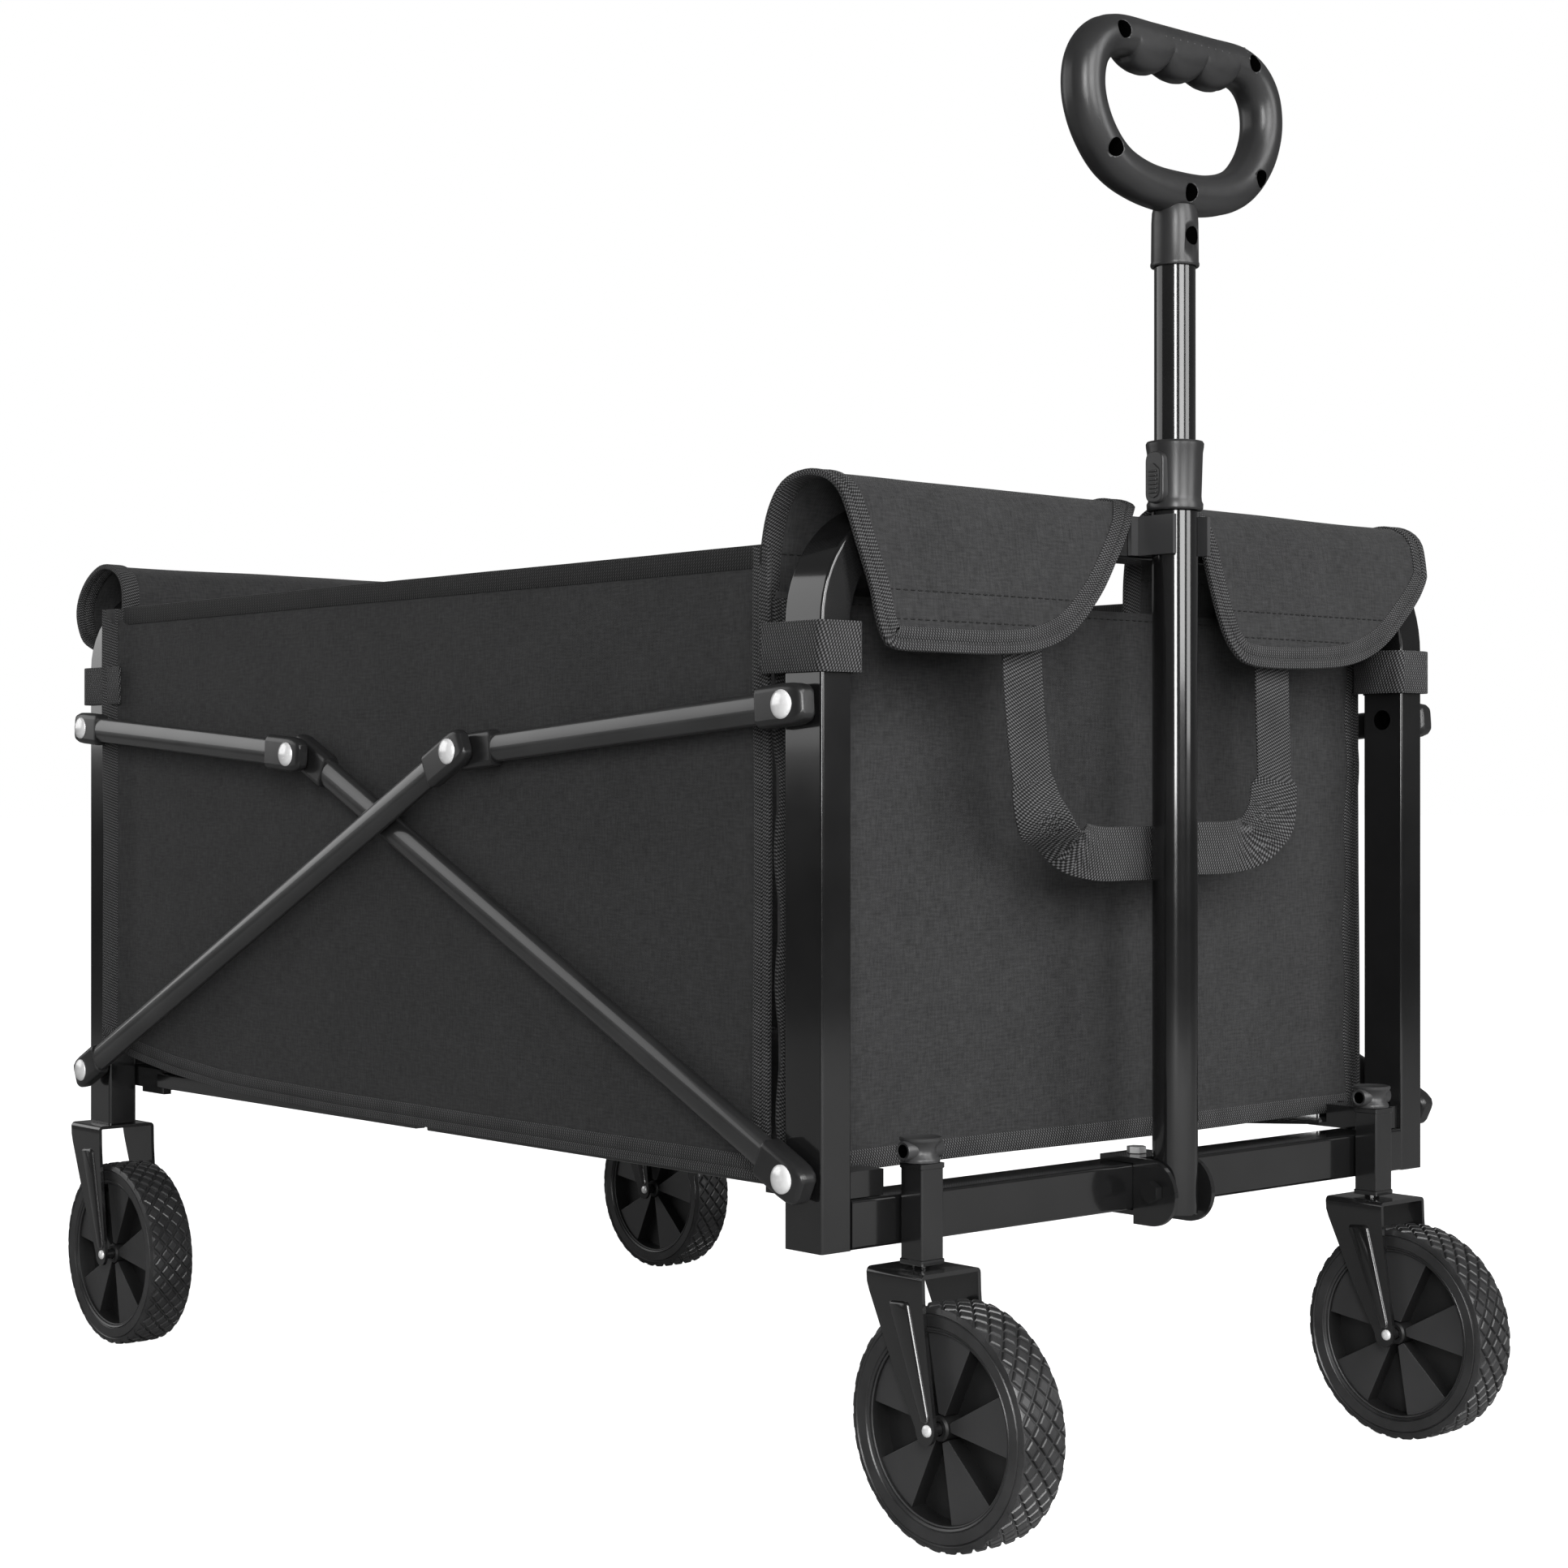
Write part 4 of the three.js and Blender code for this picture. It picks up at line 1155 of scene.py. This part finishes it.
def side_walls():
    """The long walls. They hang between the corner bindings.

    At the rear the wall leans out over the post."""
    rear_x = -667.0
    bottom = [(rear_x, 188), (-648, 181), (-622, 177), (-588, 172.8), (-530, 168.3), (-410, 165.4),
              (-270, 164.8), (-41, 164.8)]
    for side, sign in SIDES:
        def place(a, b, sign=sign):
            belly = 1.8 * math.sin(math.pi * (a + 653) / 612) * math.sin(math.pi * (b - 173) / 285)
            lean = 6.4 * ease((-648 - a) / 14)
            return at(a, sign * (220.6 + belly * 0.8 + lean), b)

        pattern = Pattern(place, 1.3, 6.0 + sign)
        low_edge = spaced([Vector(p) for p in bottom], 8.0)
        outline = low_edge + spaced([Vector((-41, 172)), Vector((-41, PANEL_TOP))], 8.0)
        outline += spaced([Vector((-49, PANEL_TOP)), Vector((rear_x, PANEL_TOP))], 8.0)
        outline += spaced([Vector((rear_x, PANEL_TOP - 8)), Vector((rear_x, 196))], 8.0)
        cloth = thicken(sheet_mesh(f"side_wall_{side}_cloth", pattern, outline, CLOTH, 11.0))
        name = f"side_wall_{side}"
        front_line = spaced([Vector((-41, 167)), Vector((-41, PANEL_TOP))], 5.0)
        rear_line = spaced([Vector((rear_x, PANEL_TOP)), Vector((rear_x, 189))], 5.0)
        top_line = spaced([Vector((-44, PANEL_TOP)), Vector((rear_x + 16, PANEL_TOP))], 6.0)
        foot_line = spaced([Vector(p) for p in bottom], 6.0)
        tapes = [
            binding(f"{name}_front_binding", pattern, front_line, 10.0, height=1.6),
            binding(f"{name}_rear_binding", pattern, rear_line, 20.0, height=1.0, bead=0.62),
            binding(f"{name}_top_binding", pattern, top_line, 10.0, height=1.4, bead=0, material=EDGE_TAPE),
            binding(f"{name}_foot_binding", pattern, foot_line, 10.5, height=1.5),
        ]
        for extra in (cloth, *tapes):
            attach(extra, "front_frame")
        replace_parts(cloth, f"side_panel_{side}")
        for extra in (cloth, *tapes):
            squashed(extra)


def floor_cloth():
    """The bottom cloth, with three seams across it where the floor folds."""
    low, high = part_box("floor_panel")
    x0, y0 = local(low)[:2]
    x1, y1, z1 = local(high)

    def place(a, b):
        seam = 0.0
        for line in (x0 + (x1 - x0) * n / 4 for n in (1, 2, 3)):
            seam += 2.2 * math.exp(-((a - line) / 5.0) ** 2)
        return at(a, b, z1 - 0.5 - seam)

    pattern = Pattern(place, 0.5, 8.0)
    outline = rounded_outline([(x0, y0, 6), (x1, y0, 6), (x1, y1, 6), (x0, y1, 6)], 8.0)
    cloth = thicken(sheet_mesh("floor_cloth", pattern, outline, CLOTH, 9.0))
    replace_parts(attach(cloth, "front_frame"), "floor_panel")
    tape = binding("floor_binding", pattern, outline + [outline[0]], 8.0, inward=1, height=1.2)
    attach(tape, "front_frame")
    squashed(cloth)
    squashed(tape)


def post_loops():
    """A band of webbing round each post, under the flaps."""
    section = rounded_box(23.5, 1.5, 0.6, 2)
    for end, body, face, toward in (("front", "front_frame", 0.0, 1), ("rear", "rear_frame", REAR_FACE, -1)):
        for side, sign in SIDES:
            inner = HALF - POST_Y - 2
            corners = [(-40, HALF + 0.8), (-20, HALF + 2), (1.6, HALF + 2.4), (2.8, HALF - 1),
                       (2.6, inner + 6), (1.4, inner - 2), (-16, inner - 3), (-30, inner + 2),
                       (-36, inner + 8)]
            line = smooth_curve(corners, 3.0)
            path = [at(face + toward * p.x, sign * p.y, 410.2) for p in line]
            band = sweep(f"{end}_{side}_post_loop", path, section, Vector((0, 0, 1)), WEBBING, sharp=60)
            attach(band, body)


def carry_strap():
    """The strap hung over the front rail: two legs, and a slack bottom that turns over at each corner."""
    middle_line = [(-97, 440), (-96.3, 407), (-94, 381), (-88.5, 347), (-82, 331), (-71, 321), (-56, 316),
                   (-40, 313.5), (-20, 313.4), (0, 313.6), (30, 315.2), (55, 315.4), (72, 317.5), (85, 323.5),
                   (92.5, 334), (94.3, 356), (93.2, 381), (92.5, 407), (92.5, 440)]
    front_x = 1.3
    hang = [(p, front_x) for p in smooth_curve(middle_line, 4.0)]
    over = [(455, front_x), (470, front_x), (477, front_x - 0.3), (480.2, -2.2), (480.6, -6), (480.6, -20),
            (480.2, -24), (477, -26.6), (470, -27.0), (455, -27.0)]
    start = [(Vector((-97, z)), x) for z, x in reversed(over)]
    end = [(Vector((92.5, z)), x) for z, x in over]
    path, across = [], []
    for spot, x in start + hang + end:
        path.append(at(x, spot.x, spot.y))
    for i, (spot, x) in enumerate(start + hang + end):
        run = (path[min(len(path) - 1, i + 1)] - path[max(0, i - 1)]).normalized()
        in_plane = Vector((0, -run.z, run.y)) if spot.y < 440 else Vector((0, 1 if spot.x < 0 else -1, 0))
        corner = math.exp(-((spot.x + 71) / 12.0) ** 2) + math.exp(-((spot.x - 85) / 10.0) ** 2)
        tilt = (-1.2 if spot.x < 0 else 0.9) * corner if spot.y < 350 else 0.0
        across.append(in_plane.normalized() * -math.cos(tilt) + Vector((1, 0, 0)) * math.sin(tilt))
    strap = sweep("carry_strap", path, rounded_box(27.0, 1.4, 0.6, 2), across, WEBBING, sharp=60)
    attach(strap, "front_frame")


# ---------------------------------------------------------------- handle
def tube(name, node, radius, material, body, slot, wall=1.0, sides=72):
    """A round tube as long as its CAD node, with both rims broken."""
    low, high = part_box(node)
    centre = Vector(((low.x + high.x) / 2, (low.y + high.y) / 2, 0))
    z0, z1 = low.z / MM, high.z / MM
    profile = [(radius - wall, z0), (radius - 0.3, z0), (radius, z0 + 0.4), (radius, z1 - 0.4),
               (radius - 0.3, z1), (radius - wall, z1)]
    made = piece(name, *turned(profile, centre, "Z", sides)[:2], material)
    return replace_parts(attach(made, body), node)


def collar():
    """The clamp collar on the outer tube: a waisted ring with a flared lip, and a frame round the button."""
    low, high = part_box("handle_collar")
    z0, z1 = low.z / MM, high.z / MM
    x = (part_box("handle_inner_tube")[0].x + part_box("handle_inner_tube")[1].x) / 2
    centre = Vector((x, 0, 0))
    profile = [(10.6, z0), (13.4, z0), (14.0, z0 + 0.8), (14.1, z0 + 3.2), (13.4, z0 + 4.6), (13.2, z0 + 7),
               (13.5, z0 + 16), (13.9, z1 - 6), (14.4, z1 - 3), (14.5, z1 - 1.4), (13.9, z1 - 0.3),
               (12.4, z1), (10.6, z1)]
    ring = piece("collar_ring", *turned(profile, centre, "Z", 72)[:2], GRIP_PLASTIC)
    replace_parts(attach(ring, "handle"), "handle_collar")
    xm = local(centre)[0]
    outline = rounded_outline([(xm - 5.8, z0 + 3, 5), (xm + 5.8, z0 + 3, 5), (xm + 5.8, z1 - 6, 5),
                               (xm - 5.8, z1 - 6, 5)], 1.2)
    boss = piece("collar_boss", *prism([(p.x, p.y) for p in outline], -15.9, -10.8, "XZ")[:2], GRIP_PLASTIC)
    soften(boss, 0.8, 3)
    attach(boss, "handle")
    button_low, button_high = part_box("handle_button")
    b0, b1 = button_low.z / MM, button_high.z / MM
    key = [(xm - 3.4, b0 + 3), (xm - 2.4, b0 + 0.9), (xm, b0), (xm + 2.4, b0 + 0.9), (xm + 3.4, b0 + 3),
           (xm + 3.4, b1 - 3), (xm, b1), (xm - 3.4, b1 - 3)]
    parts = [prism(key, -16.6, -13.0, "XZ")]
    for n in range(6):
        z = b0 + 2.4 + n * 2.1
        rib = [(xm - 2.5, z), (xm + 2.5, z), (xm + 2.5, z + 1.0), (xm - 2.5, z + 1.0)]
        parts.append(prism(rib, -17.5, -16.2, "XZ"))
    button = soften(piece("latch_button", *joined(parts)[:2], CAP_PLASTIC), 0.3, 2)
    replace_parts(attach(button, "latch"), "handle_button")


GRIP_HALF = [(0, 643.5), (25, 645), (46, 652), (60, 665.5), (67, 682), (66, 698), (58, 709), (45, 713.6),
             (22, 713.8)]
GRIP_R = 10.4


def grip():
    """The D-grip: a closed loop of round section, flattened and scalloped for the fingers along the bar."""
    x = (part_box("handle_inner_tube")[0].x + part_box("handle_inner_tube")[1].x) / 2
    xm = local(Vector((x, 0, 0)))[0]
    other_half = [(-y, z) for y, z in reversed(GRIP_HALF[1:])]
    line = smooth_closed(GRIP_HALF + [(0, 713.8)] + other_half, 0.7)
    rings = []
    count = len(line)
    sides = 40
    for i, spot in enumerate(line):
        tangent = (line[(i + 1) % count] - line[i - 1]).normalized()
        outward = Vector((tangent.y, -tangent.x))
        bar = ease((56 - abs(spot.x)) / 14) if spot.y > 690 else 0.0
        foot = ease((26 - abs(spot.x)) / 26) if spot.y < 690 else 0.0
        out_r = GRIP_R + 0.6 * foot
        in_r = GRIP_R + bar * finger_bump(spot.x)
        ring = []
        for n in range(sides):
            angle = 2 * math.pi * n / sides
            c, s = math.cos(angle), math.sin(angle)
            r = out_r if c > 0 else in_r
            seam = 0.3 if abs(abs(c) - 1) < 0.005 else 0.0
            depth = GRIP_R + 0.8
            squarer = 1 + 0.05 * bar * (abs(c * s) * 2)
            ry = spot.x + outward.x * (r - seam) * c * squarer
            rz = spot.y + outward.y * (r - seam) * c * squarer
            ring.append(at(xm + depth * s * squarer, ry, rz))
        rings.append(ring)
    points, faces = loft(rings, closed_path=True)[:2]
    body = piece("d_grip_loop", points, faces, GRIP_PLASTIC, sharp=70)
    holes = [(-49.5, 714.4), (49.5, 714.4), (-55.0, 656.4), (55.0, 656.4), (0, 642.0)]
    bore = [(0.01, 0.5), (4.5, 0.5), (4.5, 30), (0.01, 30)]
    cutters = [disc(bore, at(xm, y, z), "X", 32) for y, z in holes]
    cut(body, cutters)
    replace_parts(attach(body, "handle_extension"), "grip_front_shell", "grip_back_shell")
    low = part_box("grip_front_shell")[0].z / MM
    profile = [(0.01, low + 4), (10.6, low + 4), (10.6, low), (11.9, low), (12.2, low + 0.6),
               (12.2, low + 1.6), (11.9, low + 2.4), (11.7, 628), (11.4, 633), (10.6, 636), (0.01, 638)]
    socket = piece("grip_socket", *disc(profile, at(xm, 0, 0), "Z", 64)[:2], GRIP_PLASTIC)
    cut(socket, [disc([(0.01, 10.45), (4.6, 10.45), (4.6, 30), (0.01, 30)], at(xm, 0, 620.3), "X", 32)])
    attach(socket, "handle_extension")
    dimples = []
    for rise in (7.7, 5.0, 2.1):
        out = math.sqrt(GRIP_R ** 2 - rise ** 2) + 0.5
        for n in range(13):
            spot = at(xm + out, -19 + n * 5.33, 713.8 + rise)
            dimples.append(disc([(0.01, -0.6), (0.95, -0.5), (0.8, 0.3), (0.01, 0.6)], spot, "X", 10))
    dots = piece("grip_dots", *joined(dimples)[:2], CLIP_PLASTIC)
    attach(dots, "handle_extension")


def finger_bump(y):
    """How far the underside of the bar hangs below its round, in millimetres: three scallops."""
    best = 0.0
    for middle in (-25.3, 0.0, 25.3):
        t = (y - middle) / 12.7
        if abs(t) < 1:
            best = max(best, math.sqrt(1 - t * t))
    return 6.0 * best - 0.9


def smooth_closed(points, step):
    """A closed Catmull-Rom curve through flat points."""
    count = len(points)
    vectors = [Vector(p) for p in points]
    curve = []
    for i in range(count):
        p0, p1, p2, p3 = (vectors[(i + k) % count] for k in (-1, 0, 1, 2))
        pieces = max(1, round((p2 - p1).length / step))
        for n in range(pieces):
            t = n / pieces
            curve.append(0.5 * (2 * p1 + (p2 - p0) * t + (2 * p0 - 5 * p1 + 4 * p2 - p3) * t * t
                                + (3 * p1 - p0 - 3 * p2 + p3) * t ** 3))
    return curve


def handle():
    tube("handle_lower_tube", "handle_outer_tube", 11.35, PAINT, "handle", "frame_paint")
    tube("handle_upper_tube", "handle_inner_tube", 10.3, PAINT, "handle_extension", "frame_paint")
    collar()
    grip()
    dress("handle_bracket", CASTER_PAINT, 0.6)
    dress("handle_pivot_bolt", CASTER_PAINT, 0.4)
    dress("bracket_bolt", ZINC, 0.3)
    dress("handle_clip", CLIP_PLASTIC, 0.7)


STEM_SIDE = 14.2                    # across the square stem


def stem(side):
    """The square stem, with a thin lip at each end."""
    node = f"caster_stem_{side}"
    low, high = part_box(node)
    middle = (low + high) / 2
    lip = 1.07
    levels = [(low.z, lip), (low.z + 2.2 * MM, lip), (low.z + 2.6 * MM, 1.0), (high.z - 2.6 * MM, 1.0),
              (high.z - 2.2 * MM, lip), (high.z, lip)]
    path = [Vector((middle.x, middle.y, z)) for z, _ in levels]
    section = rounded_box(STEM_SIDE, STEM_SIDE, 1.0, 3)
    scales = [(k, k) for _, k in levels]
    tube = sweep(f"{side}_stem_tube", path, section, Vector((1, 0, 0)), CASTER_PAINT, scales)
    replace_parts(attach(crisp(tube), "front_frame"), node)


def stem_cap(side):
    """The waisted cap on the stem, with a short tube across it."""
    node = f"caster_cap_{side}"
    low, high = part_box(node)
    centre = Vector(((low.x + high.x) / 2, (low.y + high.y) / 2, 0))
    z = low.z / MM
    spool = [(0.01, z), (8.9, z), (9.1, z + 1.0), (8.8, z + 1.8), (7.5, z + 3.4), (7.1, z + 5.4),
             (7.5, z + 7.4), (9.4, z + 9.4), (9.9, z + 10.2), (9.9, z + 11.0), (9.4, z + 11.5),
             (8.6, z + 11.0), (0.01, z + 10.8)]
    cap = piece(f"{side}_stem_spool", *disc(spool, centre, "Z", 48)[:2], CLIP_PLASTIC, sharp=40)
    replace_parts(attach(cap, "front_frame"), node)
    across = Vector((centre.x, centre.y, (z + 5.6) * MM))
    arm = [(0.01, -11.6), (4.2, -11.6), (4.6, -11.0), (4.6, 11.0), (4.2, 11.6), (0.01, 11.6)]
    tube = piece(f"{side}_stem_cross_tube", *disc(arm, across, "Y", 32)[:2], CLIP_PLASTIC, sharp=40)
    hole = [(0.01, 8.0), (3.1, 8.0), (3.1, 14.0), (0.01, 14.0)]
    cut(tube, [disc(hole, across, "Y", 24, flip) for flip in (1, -1)])
    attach(tube, "front_frame")


def fittings():
    """The stems with their caps, and the CAD pieces that keep their shape and get a finish and soft edges."""
    for side, _ in SIDES:
        stem(side)
        stem_cap(side)
        dress(f"caster_pin_{side}", CASTER_PAINT, 0.2)
        dress(f"front_floor_bracket_{side}", PAINT, 0.6)
        dress(f"rear_floor_bracket_{side}", PAINT, 0.6)
    dress("front_floor_frame", PAINT, 0.8)
    dress("rear_floor_frame", PAINT, 0.8)
    floor_rails()


def floor_rails():
    """Straight side rails of the floor frame, one pair on each half, under the long walls."""
    section = rounded_box(9.0, 7.0, 0.8, 2)
    for end, start, stop in (("front", -54.0, -338.0), ("rear", -634.0, -350.0)):
        for side, sign in SIDES:
            path = [at(start, sign * 204.5, 164.2), at(stop, sign * 204.5, 164.2)]
            rail = crisp(sweep(f"{end}_floor_rail_{side}", path, section, Vector((0, 0, 1)), PAINT))
            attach(rail, f"{end}_floor")


# ---------------------------------------------------------------- stage
def ground():
    """A pale floor. Seen directly it is near white; it throws little light back at the object."""
    made = bpy.data.materials.new("pale_floor")
    made.use_nodes = True
    tree = made.node_tree
    tree.nodes.clear()
    bounce = put(tree, "BsdfDiffuse", Color=(0.4, 0.4, 0.4, 1)).outputs["BSDF"]
    shade = put(tree, "BsdfDiffuse", Color=(0.7, 0.7, 0.7, 1)).outputs["BSDF"]
    glow = put(tree, "Emission", Color=(1, 1, 1, 1), Strength=0.97).outputs["Emission"]
    bright = put(tree, "AddShader", i0=shade, i1=glow).outputs["Shader"]
    seen = put(tree, "LightPath").outputs["Is Camera Ray"]
    mixed = put(tree, "MixShader", i0=seen, i1=bounce, i2=bright).outputs["Shader"]
    put(tree, "OutputMaterial", Surface=mixed)
    size = 30.0
    floor = piece("floor", [Vector((-size, -size, 0)), Vector((size, -size, 0)), Vector((size, size, 0)),
                            Vector((-size, size, 0))], [(0, 1, 2, 3)], made)


def softbox(name, spot, target, width, height, power):
    lamp = bpy.data.lights.new(name, "AREA")
    lamp.shape = "RECTANGLE"
    lamp.size = width
    lamp.size_y = height
    lamp.energy = power
    made = bpy.data.objects.new(name, lamp)
    made.location = spot
    made.rotation_euler = (Vector(target) - Vector(spot)).to_track_quat("-Z", "Y").to_euler()
    bpy.context.scene.collection.objects.link(made)
    return made


def lights():
    """A dim studio with four softboxes; the backdrop itself is white to the camera."""
    world = bpy.data.worlds.new("studio")
    bpy.context.scene.world = world
    world.use_nodes = True
    tree = world.node_tree
    back = tree.nodes["Background"]
    back.inputs["Color"].default_value = (1, 1, 1, 1)
    seen = put(tree, "LightPath").outputs["Is Camera Ray"]
    strength = put(tree, "MapRange", Value=seen, To_Min=0.12, To_Max=1.0).outputs["Result"]
    tree.links.new(strength, back.inputs["Strength"])
    softbox("front_key", (2.55, -0.45, 1.25), (0, 0, 0.4), 1.1, 1.6, 48)
    softbox("front_right", (2.5, 0.95, 1.35), (0, 0, 0.4), 1.0, 2.0, 34)
    softbox("behind_camera", (2.25, -1.98, 1.1), (0, 0, 0.35), 0.55, 1.6, 58)
    softbox("left_low", (-2.1, -1.55, 1.2), (0, 0, 0.75), 2.4, 1.6, 19)


def camera():
    lens = bpy.data.cameras.new("camera")
    lens.lens = 64.96
    lens.sensor_width = 36.0
    lens.clip_end = 100.0
    made = bpy.data.objects.new("camera", lens)
    made.location = at(944.0, -1081.3, 345.35)
    made.rotation_euler = (math.radians(90.11), 0, math.radians(48.55))
    bpy.context.scene.collection.objects.link(made)
    bpy.context.scene.camera = made


camera()
frame_ends()
linkage()
wheels()
fittings()
handle()
front_wall()
rear_wall()
side_walls()
floor_cloth()
flaps()
post_loops()
carry_strap()
ground()
lights()
bpy.context.scene.view_settings.view_transform = "Standard"
